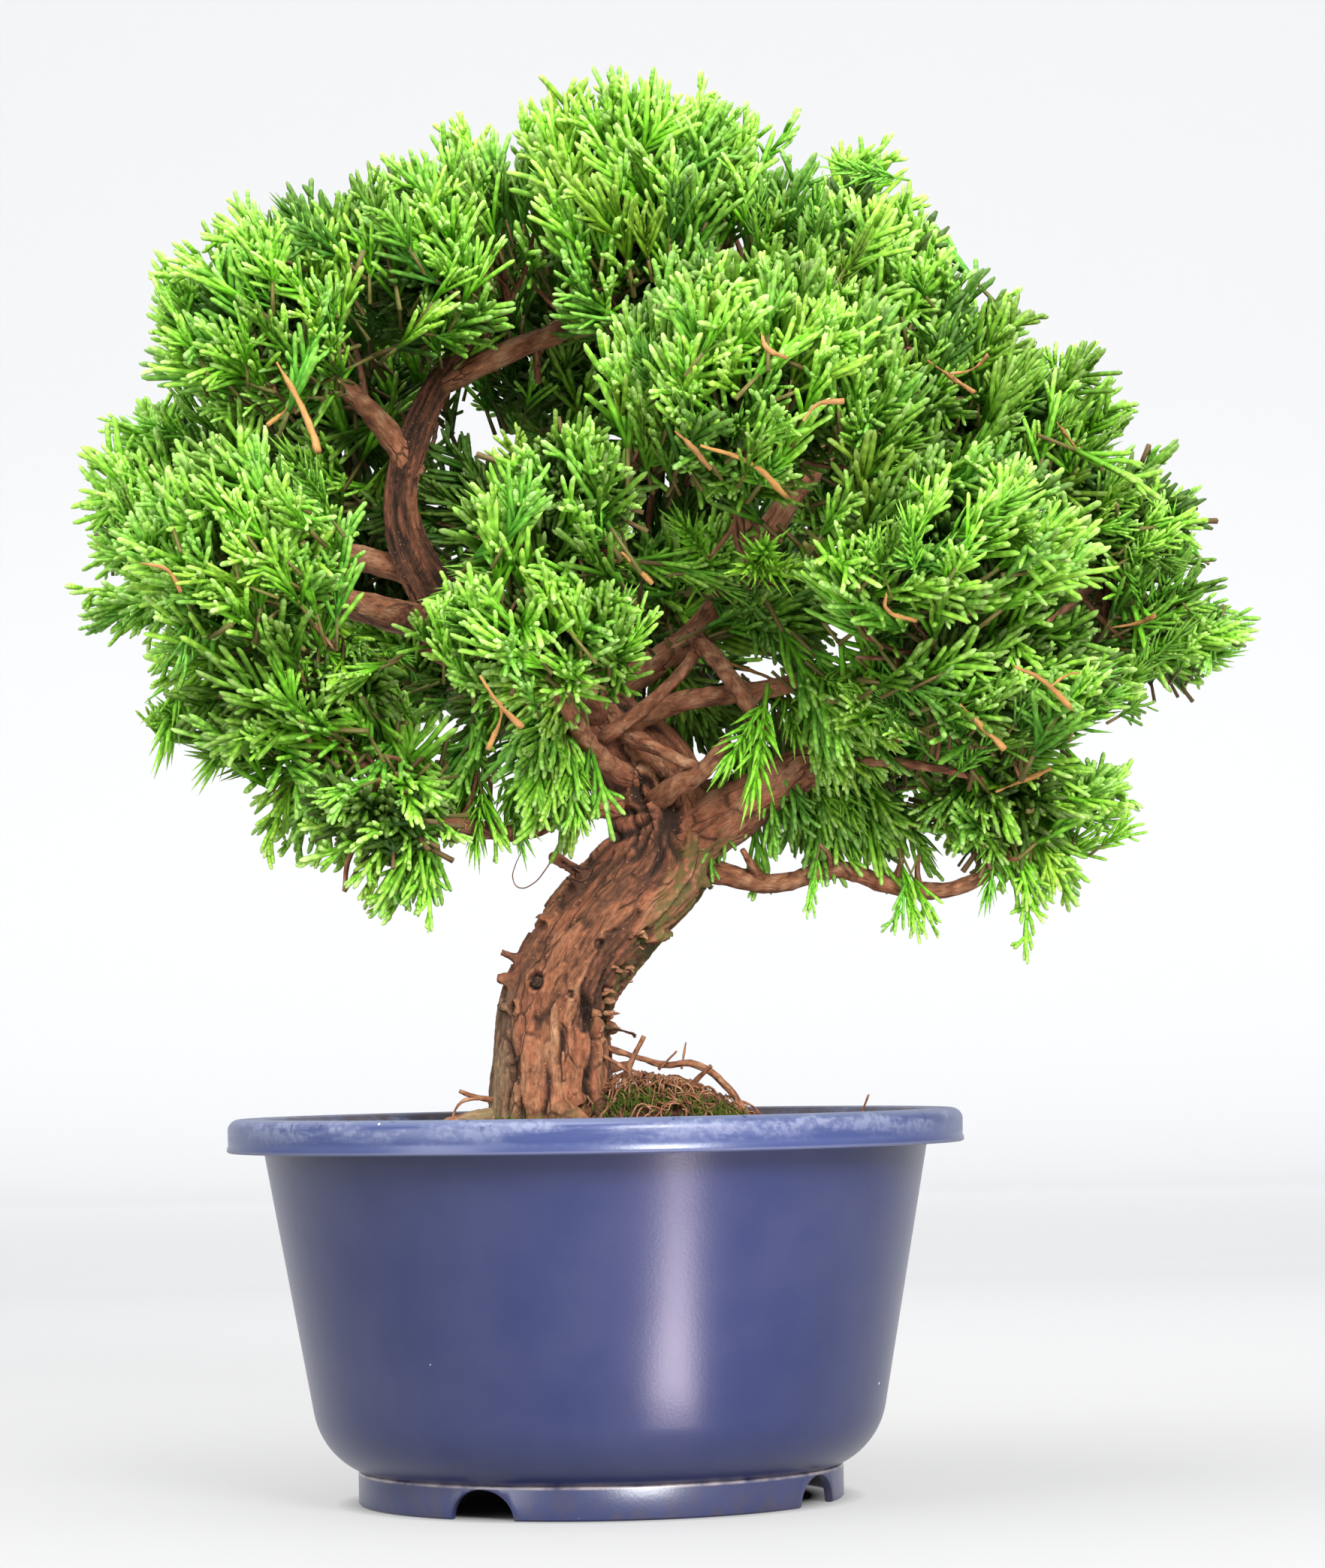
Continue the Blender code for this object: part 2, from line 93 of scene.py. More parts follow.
def tubes(name, routes, resolution, steps):  # one mesh of tapering tubes, a route is [(x, y, z, radius), ...]
    curve = bpy.data.curves.new(name, "CURVE")
    curve.dimensions = "3D"
    curve.bevel_depth = 1.0
    curve.bevel_resolution = resolution
    curve.resolution_u = steps
    curve.use_fill_caps = True
    for route in routes:
        spline = curve.splines.new("BEZIER")
        spline.bezier_points.add(len(route) - 1)
        for point, spot in zip(spline.bezier_points, route):
            point.co = spot[:3]
            point.radius = spot[3]
            point.handle_left_type = point.handle_right_type = "AUTO"
    obj = bpy.data.objects.new(name, curve)
    bpy.context.scene.collection.objects.link(obj)
    pick(obj)
    bpy.ops.object.convert(target="MESH")
    obj = bpy.context.view_layer.objects.active
    bpy.ops.object.mode_set(mode="EDIT")
    bpy.ops.mesh.select_all(action="SELECT")
    bpy.ops.mesh.remove_doubles(threshold=0.005)
    bpy.ops.mesh.normals_make_consistent(inside=False)
    bpy.ops.object.mode_set(mode="OBJECT")
    bpy.ops.object.shade_smooth()
    return obj


def corners(mesh):
    found = np.empty(len(mesh.vertices) * 3)
    mesh.vertices.foreach_get("co", found)
    return found.reshape(-1, 3)


def setCorners(mesh, moved):
    mesh.vertices.foreach_set("co", moved.ravel())
    mesh.update()


def paint(mesh, name, values):  # a colour on every vertex, from an array of four columns
    layer = mesh.attributes.get(name) or mesh.attributes.new(name, "FLOAT_COLOR", "POINT")
    layer.data.foreach_set("color", values.astype(np.float32).ravel())


def painted(mesh, name):
    found = np.empty(len(mesh.vertices) * 4, dtype=np.float32)
    mesh.attributes[name].data.foreach_get("color", found)
    return found.reshape(-1, 4)


def add(tree, kind, inputs=None, **settings):
    made = tree.nodes.new(kind)
    for name, value in settings.items():
        setattr(made, name, value)
    for name, value in (inputs or {}).items():
        if isinstance(value, bpy.types.NodeSocket):
            tree.links.new(value, made.inputs[name])
        else:
            made.inputs[name].default_value = value
    return made


def ramp(tree, factor, stops):  # stops: (place, colour)
    made = add(tree, "ShaderNodeValToRGB", {"Fac": factor})
    elements = made.color_ramp.elements
    while len(elements) < len(stops):
        elements.new(0.5)
    for element, (spot, colour) in zip(elements, stops):
        element.position = spot
        element.color = (*colour, 1)
    return made.outputs["Color"]


def blendColours(tree, factor, first, second, way="MIX"):
    made = add(tree, "ShaderNodeMix", data_type="RGBA", blend_type=way)
    sockets = (made.inputs["Factor"], made.inputs[6], made.inputs[7])
    for socket, value in zip(sockets, (factor, first, second)):
        if isinstance(value, bpy.types.NodeSocket):
            tree.links.new(value, socket)
        elif socket.type == "RGBA":
            socket.default_value = (*value, 1)
        else:
            socket.default_value = value
    return made.outputs[2]


def sums(tree, way, first, second=0.5, limit=False):
    made = add(tree, "ShaderNodeMath", operation=way, use_clamp=limit)
    for socket, value in zip(made.inputs, (first, second)):
        if isinstance(value, bpy.types.NodeSocket):
            tree.links.new(value, socket)
        else:
            socket.default_value = value
    return made.outputs[0]


def times(tree, first, second, limit=False):
    return sums(tree, "MULTIPLY", first, second, limit)


def newGroup(name, inputs, outputs):
    tree = bpy.data.node_groups.new(name, "ShaderNodeTree")
    for label, kind, value in inputs:
        made = tree.interface.new_socket(label, in_out="INPUT", socket_type=kind)
        if value is not None:
            made.default_value = value
    for label, kind in outputs:
        tree.interface.new_socket(label, in_out="OUTPUT", socket_type=kind)
    return tree, tree.nodes.new("NodeGroupInput").outputs, tree.nodes.new("NodeGroupOutput").inputs


def makeMottle():  # soft patches between two levels of a noise
    tree, given, wanted = newGroup(
        "mottle",
        [("Vector", "NodeSocketVector", None), ("Scale", "NodeSocketFloat", 1),
         ("Low", "NodeSocketFloat", 0.4),
         ("High", "NodeSocketFloat", 0.6)],
        [("Mask", "NodeSocketFloat")],
    )
    cloud = add(tree, "ShaderNodeTexNoise",
                {"Vector": given["Vector"], "Scale": given["Scale"], "Detail": 5.0})
    level = add(tree, "ShaderNodeMapRange",
                {"Value": cloud.outputs["Fac"], "From Min": given["Low"], "From Max": given["High"]})
    tree.links.new(level.outputs[0], wanted["Mask"])
    return tree


def makeSpecks():  # small separate spots of random size
    tree, given, wanted = newGroup(
        "specks",
        [("Vector", "NodeSocketVector", None), ("Scale", "NodeSocketFloat", 1),
         ("Size", "NodeSocketFloat", 0.2)],
        [("Mask", "NodeSocketFloat")],
    )
    cells = add(tree, "ShaderNodeTexVoronoi", {"Vector": given["Vector"], "Scale": given["Scale"]})
    tone = add(tree, "ShaderNodeSeparateColor", {"Color": cells.outputs["Color"]})
    size = times(tree, given["Size"], tone.outputs[0])
    near = sums(tree, "LESS_THAN", cells.outputs["Distance"], size)
    tree.links.new(near, wanted["Mask"])
    return tree


mottleGroup = makeMottle()
specksGroup = makeSpecks()


def mottle(tree, vector, scale, low, high):
    made = add(tree, "ShaderNodeGroup", node_tree=mottleGroup)
    tree.links.new(vector, made.inputs["Vector"])
    for name, value in (("Scale", scale), ("Low", low), ("High", high)):
        made.inputs[name].default_value = value
    return made.outputs["Mask"]


def specks(tree, vector, scale, size):
    made = add(tree, "ShaderNodeGroup", node_tree=specksGroup)
    tree.links.new(vector, made.inputs["Vector"])
    made.inputs["Scale"].default_value = scale
    made.inputs["Size"].default_value = size
    return made.outputs["Mask"]


def newMaterial(name, roughness, specular):
    made = bpy.data.materials.new(name)
    made.use_nodes = True
    tree = made.node_tree
    shader = tree.nodes["Principled BSDF"]
    shader.inputs["Roughness"].default_value = roughness
    shader.inputs["Specular IOR Level"].default_value = specular
    spot = add(tree, "ShaderNodeTexCoord").outputs["Object"]
    shift = add(tree, "ShaderNodeMapping", {"Vector": spot, "Scale": (1000, 1000, 1000)})
    shift.inputs["Location"].default_value = tuple(-1000 * potAxis)
    return made, tree, shader, shift.outputs["Vector"]


def growthOf(tree, name):
    found = add(tree, "ShaderNodeAttribute", attribute_name=name)
    parts = add(tree, "ShaderNodeSeparateColor", {"Color": found.outputs["Color"]})
    return (*[parts.outputs[k] for k in range(3)], found.outputs["Alpha"])


def addRelief(tree, shader, height, distance, strength=1.0):
    bump = add(tree, "ShaderNodeBump", {"Height": height, "Distance": distance, "Strength": strength})
    tree.links.new(bump.outputs["Normal"], shader.inputs["Normal"])


leafTones = {
    "stem": (0.130, 0.070, 0.030),
    "base": (0.018, 0.064, 0.002),
    "middle": (0.124, 0.395, 0.009),
    "bright": (0.285, 0.575, 0.058),
    "tip": (0.430, 0.640, 0.200),
    "cool": (0.070, 0.280, 0.050),
    "warm": (0.380, 0.440, 0.030),
}


def makeLeafMaterial():  # growth holds age, tint, depth and wood; depth is a painted shade, darker deeper in the crown
    made, tree, shader, spot = newMaterial("scale leaves", 0.56, 0.22)
    age, tint, depth, wood = growthOf(tree, "growth")
    green = ramp(tree, age, [(0.0, leafTones["base"]), (0.42, leafTones["middle"]),
                             (0.8, leafTones["bright"]),
                             (1.0, leafTones["tip"])])
    cool = times(tree, sums(tree, "SUBTRACT", 0.4, tint, True), 1.3, True)
    warm = times(tree, sums(tree, "SUBTRACT", tint, 0.78, True), 1.5, True)
    green = blendColours(tree, cool, green, leafTones["cool"])
    green = blendColours(tree, warm, green, leafTones["warm"])
    patches = mottle(tree, spot, 0.3, 0.4, 0.7)
    green = blendColours(tree, times(tree, patches, 0.3), green, leafTones["base"])
    scales = add(tree, "ShaderNodeUVMap", uv_map="UVMap").outputs["UV"]
    cells = add(tree, "ShaderNodeTexVoronoi", {"Vector": scales, "Scale": 1.0}).outputs["Distance"]
    rims = ramp(tree, cells, [(0.25, (0.82, 0.82, 0.82)), (0.62, (1.12, 1.15, 1.1)), (0.8, (1.45, 1.4, 1.5))])
    green = blendColours(tree, 1.0, green, rims, "MULTIPLY")
    # painted shade: the colour is darkened by the spray's depth in the crown
    shade = ramp(tree, depth, [(0.0, (0.10, 0.10, 0.08)), (0.5, (0.38, 0.39, 0.32)), (1.0, (1, 1, 1))])
    green = blendColours(tree, 1.0, green, shade, "MULTIPLY")
    colour = blendColours(tree, wood, green, leafTones["stem"])
    tree.links.new(colour, shader.inputs["Base Color"])
    addRelief(tree, shader, sums(tree, "SUBTRACT", 1.0, cells), 0.0002, 0.7)
    return made


barkTones = {
    "crack": (0.030, 0.014, 0.007),
    "dark": (0.100, 0.040, 0.020),
    "brown": (0.240, 0.092, 0.042),
    "pale": (0.410, 0.225, 0.120),
    "salmon": (0.330, 0.108, 0.052),
    "dead": (0.210, 0.145, 0.080),
    "moss": (0.098, 0.098, 0.022),
    "dry": (0.450, 0.230, 0.060),
}


def makeBarkMaterial():  # bark holds height, dead wood and moss; barkSpace follows the grain
    made, tree, shader, spot = newMaterial("fissured bark", 0.72, 0.3)
    height, dead, moss, dry = growthOf(tree, "bark")
    space = add(tree, "ShaderNodeAttribute", attribute_name="barkSpace").outputs["Vector"]
    wavy = add(tree, "ShaderNodeTexNoise", {"Vector": space, "Scale": 0.35, "Detail": 2.0})
    bent = add(tree, "ShaderNodeVectorMath", {0: space, 1: wavy.outputs["Color"]}, operation="ADD")
    grain = add(tree, "ShaderNodeMapping", {"Vector": bent.outputs[0], "Scale": (1.0, 1.0, 0.27)})
    fibre = add(tree, "ShaderNodeTexNoise",
                {"Vector": grain.outputs[0], "Scale": 1.5, "Detail": 9.0, "Roughness": 0.68})
    plates = add(tree, "ShaderNodeMapping", {"Vector": bent.outputs[0], "Scale": (0.30, 0.30, 0.12)})
    edges = add(tree, "ShaderNodeTexVoronoi", {"Vector": plates.outputs[0], "Scale": 1.0},
                feature="DISTANCE_TO_EDGE")
    parted = mottle(tree, plates.outputs[0], 0.8, 0.44, 0.60)
    crack = add(tree, "ShaderNodeMapRange",
                {"Value": edges.outputs["Distance"], "From Max": 0.075, "To Min": 1.0, "To Max": 0.0})
    cracks = times(tree, crack.outputs[0], parted, True)
    tone = ramp(tree, height, [(0.0, barkTones["crack"]), (0.34, barkTones["dark"]),
                               (0.60, barkTones["brown"]),
                               (1.0, barkTones["pale"])])
    rusty = mottle(tree, plates.outputs[0], 0.7, 0.45, 0.58)
    tone = blendColours(tree, times(tree, rusty, times(tree, height, 0.75)), tone, barkTones["salmon"])
    contrast = ramp(tree, fibre.outputs["Fac"], [(0.33, (0.38, 0.35, 0.33)), (0.46, (0.84, 0.83, 0.82)),
                                                 (0.56, (1.10, 1.09, 1.08)), (0.68, (1.50, 1.55, 1.58))])
    tone = blendColours(tree, 1.0, tone, contrast, "MULTIPLY")
    deadTone = blendColours(tree, height, barkTones["dark"], barkTones["dead"])
    deadTone = blendColours(tree, 1.0, deadTone, contrast, "MULTIPLY")
    tone = blendColours(tree, times(tree, dead, 0.85), tone, deadTone)
    mossy = times(tree, moss, mottle(tree, spot, 0.45, 0.38, 0.56), True)
    tone = blendColours(tree, times(tree, mossy, 0.85), tone, barkTones["moss"])
    tone = blendColours(tree, times(tree, cracks, 0.85), tone, barkTones["crack"])
    tone = blendColours(tree, times(tree, specks(tree, spot, 0.9, 0.2), 0.55), tone, barkTones["pale"])
    tone = blendColours(tree, dry, tone, barkTones["dry"])
    tree.links.new(tone, shader.inputs["Base Color"])
    relief = sums(tree, "SUBTRACT", fibre.outputs["Fac"], times(tree, cracks, 0.6))
    addRelief(tree, shader, relief, 0.0009, 0.9)
    return made


potTones = {
    "blue": (0.0123, 0.0180, 0.0695),
    "dull": (0.0238, 0.0285, 0.081),
    # the rim's lighter blue is painted light, as if the rim band were lit from above
    "rim": (0.023, 0.036, 0.115),
    # pale scuffs on the rim, also used as painted highlight on the rim's face and edges
    "wearAndHighlight": (0.185, 0.205, 0.285),
    "dirt": (0.05, 0.032, 0.022),
    "speck": (0.75, 0.74, 0.72),
    # painted highlight on the foot ring's upward ledge
    "ledge": (0.42, 0.36, 0.34),
}


potLevels = {  # heights between which each mark comes in
    "rim": (73.2, 75.5), "scuffs": (75.2, 79.6), "chips": (77.5, 79.5), "lip": (79.8, 80.8),
    "beadHighlightLow": (73.7, 74.0), "beadHighlightHigh": (74.8, 74.4), "ledgeHighlightLow": (6.2, 6.6), "ledgeHighlightHigh": (7.3, 7.0),
    "grime": (8.0, 0.0), "stain": (60.0, 70.0),
}


def levelMask(tree, height, start, end):
    return add(tree, "ShaderNodeMapRange", {"Value": height, "From Min": start, "From Max": end}).outputs[0]


def makePotMaterial():
    made, tree, shader, spot = newMaterial("moulded plastic", 0.3, 0.5)
    height = add(tree, "ShaderNodeSeparateXYZ", {"Vector": spot}).outputs["Z"]
    tone = blendColours(tree, mottle(tree, spot, 0.05, 0.35, 0.75), potTones["blue"], potTones["dull"])
    # painted light: the rim band is painted a lighter blue
    tone = blendColours(tree, levelMask(tree, height, *potLevels["rim"]), tone, potTones["rim"])
    stretched = add(tree, "ShaderNodeMapping", {"Vector": spot, "Scale": (0.07, 0.07, 0.4)}).outputs["Vector"]
    patches = mottle(tree, stretched, 1.0, 0.40, 0.62)
    scuffs = mottle(tree, spot, 0.7, 0.44, 0.60)
    high = levelMask(tree, height, *potLevels["scuffs"])
    # wear and painted highlight: pale scuffs on the rim, laid on strongly enough to paint in its light from
    # above, then a pale line round the top edge
    wearAndHighlight = times(tree, high, times(tree, patches, sums(tree, "ADD", scuffs, 0.6), True), True)
    wearAndHighlight = sums(tree, "MAXIMUM", wearAndHighlight, times(tree, levelMask(tree, height, *potLevels["lip"]), 0.75))
    # painted highlight: a pale line along the rim's bottom bead
    lip = times(tree, levelMask(tree, height, *potLevels["beadHighlightLow"]),
                levelMask(tree, height, *potLevels["beadHighlightHigh"]), True)
    wearAndHighlight = sums(tree, "MAXIMUM", wearAndHighlight, times(tree, lip, 0.45))
    chipped = levelMask(tree, height, *potLevels["chips"])
    chips = times(tree, chipped, mottle(tree, spot, 0.45, 0.64, 0.68), True)
    tone = blendColours(tree, times(tree, wearAndHighlight, 0.62), tone, potTones["wearAndHighlight"])
    tone = blendColours(tree, times(tree, chips, 0.7), tone, potTones["blue"])
    # painted highlight: a mottled pale line along the top ledge of the foot ring
    ledge = times(tree, levelMask(tree, height, *potLevels["ledgeHighlightLow"]),
                  levelMask(tree, height, *potLevels["ledgeHighlightHigh"]), True)
    ledge = times(tree, ledge, mottle(tree, spot, 0.2, 0.3, 0.6))
    tone = blendColours(tree, times(tree, ledge, 0.6), tone, potTones["ledge"])
    low = levelMask(tree, height, *potLevels["grime"])
    grime = times(tree, low, mottle(tree, spot, 0.25, 0.42, 0.66), True)
    tone = blendColours(tree, times(tree, grime, 0.5), tone, potTones["dirt"])
    away = add(tree, "ShaderNodeVectorMath", {0: spot, 1: (1, 1, 0)}, operation="MULTIPLY")
    reach = add(tree, "ShaderNodeVectorMath", {0: away.outputs[0]}, operation="LENGTH").outputs["Value"]
    within = sums(tree, "SUBTRACT", reach, times(tree, height, 0.178))  # the wall leans out as it rises
    inside = times(tree, sums(tree, "LESS_THAN", within, 55.9),
                   levelMask(tree, height, *potLevels["stain"]), True)
    inside = times(tree, inside, mottle(tree, spot, 0.12, 0.3, 0.6), True)
    tone = blendColours(tree, times(tree, inside, 0.75), tone, potTones["dirt"])
    tone = blendColours(tree, specks(tree, spot, 0.10, 0.035), tone, potTones["speck"])
    tree.links.new(tone, shader.inputs["Base Color"])
    rough = add(tree, "ShaderNodeMapRange", {"Value": wearAndHighlight, "To Min": 0.29, "To Max": 0.55})
    tree.links.new(rough.outputs[0], shader.inputs["Roughness"])
    fine = add(tree, "ShaderNodeTexNoise", {"Vector": spot, "Scale": 1.6, "Detail": 3.0})
    addRelief(tree, shader, fine.outputs["Fac"], 0.0001, 0.2)
    return made


def makeGroundMaterial(name, tones, scale):  # crumbly ground in three tones
    made, tree, shader, spot = newMaterial(name, 0.95, 0.15)
    grain = add(tree, "ShaderNodeTexNoise",
                {"Vector": spot, "Scale": scale, "Detail": 8.0, "Roughness": 0.75})
    tone = ramp(tree, grain.outputs["Fac"], [(0.3, tones[0]), (0.52, tones[1]), (0.7, tones[2])])
    shade = mottle(tree, spot, scale / 4, 0.35, 0.65)
    tone = blendColours(tree, times(tree, shade, 0.5), tone, tones[0])
    tree.links.new(tone, shader.inputs["Base Color"])
    addRelief(tree, shader, grain.outputs["Fac"], 0.0008, 1.0)
    return made


leafMaterial = makeLeafMaterial()
barkMaterial = makeBarkMaterial()
potMaterial = makePotMaterial()
soilMaterial = makeGroundMaterial("potting soil",
                                  ((0.012, 0.007, 0.004), (0.05, 0.028, 0.016), (0.16, 0.09, 0.05)), 0.9)
moundMaterial = makeGroundMaterial("root mat",
                                   ((0.030, 0.014, 0.007), (0.12, 0.055, 0.03), (0.26, 0.15, 0.08)), 1.3)
mossMaterial = makeGroundMaterial("moss", ((0.03, 0.045, 0.006), (0.10, 0.14, 0.018), (0.26, 0.32, 0.05)),
                                  1.2)
print("materials made")


potSizes = {
    "height": 81.0, "rimRadius": 77.5, "rimDepth": 7.0, "wall": 1.8, "topRadius": 69.9, "slope": 10.1,
    "corner": 16.3, "cornerLevel": 22.0, "footRadius": 51.0, "footHeight": 7.0, "steps": 144,
    "notchTurn": -27.7, "notchHalf": 7.3, "notchHeight": 6.3, "drainRadius": 4.0,
    "slotLength": 20.0, "slotWidth": 3.2, "slotMiddle": 22.0, "edge": 0.35,
}


def wallAt(height):
    sizes = potSizes
    below = sizes["height"] - sizes["rimDepth"] - height
    return sizes["topRadius"] - below * math.tan(math.radians(sizes["slope"]))


def arcPoints(middle, radius, start, end, count):
    turns = [math.radians(start + (end - start) * k / count) for k in range(count + 1)]
    return [(middle[0] + radius * math.cos(t), middle[1] + radius * math.sin(t)) for t in turns]


def cornerMiddle():  # the middle of the wall's lower rounding
    sizes = potSizes
    slope = math.radians(sizes["slope"])
    return wallAt(sizes["cornerLevel"]) - sizes["corner"] / math.cos(slope), sizes["cornerLevel"]


def lathe(name, outline, closed, steps):  # an outline of (radius, height) points turned round the axis
    mesh = bpy.data.meshes.new(name)
    count = len(outline)
    edges = [(k, k + 1) for k in range(count - 1)]
    if closed:
        edges.append((count - 1, 0))
    mesh.from_pydata([(r, 0, z) for r, z in outline], edges, [])
    made = bpy.data.objects.new(name, mesh)
    bpy.context.scene.collection.objects.link(made)
    pick(made)
    bpy.ops.object.mode_set(mode="EDIT")
    bpy.ops.mesh.select_all(action="SELECT")
    bpy.ops.mesh.spin(steps=steps, angle=2 * math.pi, center=(0, 0, 0), axis=(0, 0, 1))
    bpy.ops.mesh.select_all(action="SELECT")
    bpy.ops.mesh.remove_doubles(threshold=0.01)
    bpy.ops.mesh.normals_make_consistent(inside=False)
    bpy.ops.object.mode_set(mode="OBJECT")
    return made


def potOutline():
    sizes = potSizes
    top, rim, wall = sizes["height"], sizes["rimRadius"], sizes["wall"]
    foot, ledge = sizes["footRadius"], sizes["footHeight"]
    corner = cornerMiddle()
    under = top - sizes["rimDepth"]
    points = [(rim - 4.2, top - 0.25), (rim - 3.6, top)]
    points += arcPoints((rim - 2.4, top - 2.4), 2.4, 84, 6, 5)
    points += [(rim - 0.05, top - 4.6), (rim - 0.1, under + 1.5), (rim + 0.15, under + 1.0)]
    points += [(rim + 0.2, under + 0.3), (rim - 0.25, under)]
    points += [(rim - wall, under), (rim - wall, top - wall - 0.6), (rim - wall - 0.6, top - wall)]
    points += [(wallAt(top - wall) + 0.8, top - wall), (wallAt(top - wall - 0.8), top - wall - 0.8)]
    points += [(wallAt(top - 12), top - 12), (wallAt(50), 50), (wallAt(34), 34)]
    points += arcPoints(corner, sizes["corner"], -sizes["slope"], -67.5, 12)
    points += [(foot - 0.2, ledge - 0.1), (foot, ledge - 0.4), (foot, 0.4), (foot - 0.4, 0.0),
               (foot - wall + 0.3, 0.0), (foot - wall, 0.3)]
    points += [(foot - wall, ledge - 0.4), (foot - wall - 0.4, ledge)]
    points += [(sizes["drainRadius"], ledge), (sizes["drainRadius"], ledge + wall)]
    points += arcPoints(corner, sizes["corner"] - wall, -65.5, -sizes["slope"], 8)
    points += [(wallAt(50) - wall, 50), (wallAt(top) - wall, top - 1.0),
               (wallAt(top) - wall + 0.5, top - 0.3)]
    points += [(wallAt(top) - wall + 1.4, top)]
    return points


def makePot():
    sizes = potSizes
    pot = lathe("trainingPot", potOutline(), True, sizes["steps"])
    cutters = []
    for k in range(4):
        turn = math.radians(sizes["notchTurn"] + 90 * k)
        out = (sizes["footRadius"] * math.sin(turn), -sizes["footRadius"] * math.cos(turn), -0.05)
        bpy.ops.mesh.primitive_cylinder_add(vertices=40, radius=1, depth=14, location=out,
                                            rotation=(math.pi / 2, 0, turn))
        cutter = bpy.context.object
        cutter.scale = (sizes["notchHalf"], sizes["notchHeight"], 1)
        cutters.append(cutter)
    for k in range(6):
        turn = math.radians(60 * k + 30)
        spot = (sizes["slotMiddle"] * math.cos(turn), sizes["slotMiddle"] * math.sin(turn),
                sizes["footHeight"] + 0.9)
        bpy.ops.mesh.primitive_cube_add(size=1, location=spot, rotation=(0, 0, turn))
        cutter = bpy.context.object
        cutter.scale = (sizes["slotLength"], sizes["slotWidth"], 8)
        cutters.append(cutter)
    for cutter in cutters:
        pick(cutter)
        bpy.ops.object.transform_apply(location=True, rotation=True, scale=True)
    cutter = joined(cutters, "potCutter")
    pick(pot)
    boolean = pot.modifiers.new("notches", "BOOLEAN")
    boolean.object = cutter
    boolean.operation = "DIFFERENCE"
    boolean.solver = "EXACT"
    bevel = pot.modifiers.new("edges", "BEVEL")
    bevel.width = sizes["edge"]
    bevel.segments = 2
    bevel.limit_method = "ANGLE"
    bevel.angle_limit = math.radians(50)
    applyModifiers(pot)
    bpy.data.objects.remove(cutter)
    pick(pot)
    bpy.ops.object.shade_smooth_by_angle(angle=math.radians(35))
    return place(pot, potMaterial, ["pot"])


makePot()
print("pot made")


soilSizes = {"level": 75.5, "rise": 4.0, "reach": 30.0, "foot": (-10.0, 0.0), "crumbs": 900, "seed": 3}
moundSizes = {"middle": (17.0, -2.0), "reach": (24.0, 19.0), "height": 9.5}


def soilHeight(x, y):
    away = math.hypot(x - soilSizes["foot"][0], y - soilSizes["foot"][1])
    rise = soilSizes["rise"] * math.exp(-((away / soilSizes["reach"]) ** 2))
    return soilSizes["level"] + rise + 0.7 * noise.noise(Vector((x, y, 0)) / 9)


def moundHeight(x, y):
    dx, dy = x - moundSizes["middle"][0], y - moundSizes["middle"][1]
    share = math.hypot(dx / moundSizes["reach"][0], dy / moundSizes["reach"][1])
    turn = math.atan2(dy, dx)
    lean = 1 - 0.45 * min(share, 1) * math.cos(turn)
    return max(0, moundSizes["height"] * (1 - share**2) * lean)


def makeSoil():
    level = soilSizes["level"]
    gap = potSizes["wall"] + 0.3
    outline = [(0, potSizes["footHeight"] + gap)]
    outline += arcPoints(cornerMiddle(), potSizes["corner"] - gap, -64.5, -12, 4)
    outline += [((wallAt(level) - gap) * share, level) for share in np.linspace(1, 0, 42)]
    soil = lathe("pottingSoil", outline, False, 120)
    mesh = soil.data
    spots = corners(mesh)
    top = spots[:, 2] > soilSizes["level"] - 0.5
    for k in np.flatnonzero(top):
        x, y = spots[k, 0], spots[k, 1]
        rough = noise.turbulence(Vector((x, y, 3)) / 4.0, 5, False) - 0.5
        clods = noise.noise(Vector((x, y, 8)) / 1.3)
        spots[k, 2] = soilHeight(x, y) - 0.4 + 1.6 * rough + 0.5 * clods
    setCorners(mesh, spots)
    pick(soil)
    bpy.ops.object.shade_smooth()
    return soil


def modelCrumb():
    bpy.ops.mesh.primitive_ico_sphere_add(subdivisions=1, radius=1)
    crumb = bpy.context.object
    spots = corners(crumb.data)
    setCorners(crumb.data, spots * np.array([[1 + 0.5 * noise.noise(Vector(s) * 1.7)] for s in spots]))
    bpy.ops.object.shade_smooth()
    return crumb


def copyOf(source, matrix):
    made = source.copy()
    made.data = source.data.copy()
    made.data.transform(matrix)
    bpy.context.scene.collection.objects.link(made)
    return made


def makeCrumbs():
    draw = random.Random(soilSizes["seed"])
    crumb = modelCrumb()
    copies = []
    radius = wallAt(75) - potSizes["wall"] - 2
    for _ in range(soilSizes["crumbs"]):
        turn, away = draw.uniform(0, 2 * math.pi), radius * math.sqrt(draw.random())
        x, y = away * math.cos(turn), away * math.sin(turn)
        size = draw.choice((0.4, 0.6, 0.6, 0.9, 1.4))
        z = soilHeight(x, y) + moundHeight(x, y) * 0.95
        squash = Matrix.Diagonal((size, size * draw.uniform(0.5, 1), size * draw.uniform(0.4, 0.8), 1))
        spin = Matrix.Rotation(draw.uniform(0, 6.3), 4, "Z")
        spin = spin @ Matrix.Rotation(draw.uniform(-0.6, 0.6), 4, "X")
        copies.append(copyOf(crumb, Matrix.Translation((x, y, z)) @ spin @ squash))
    bpy.data.objects.remove(crumb)
    return joined(copies, "soilCrumbs")


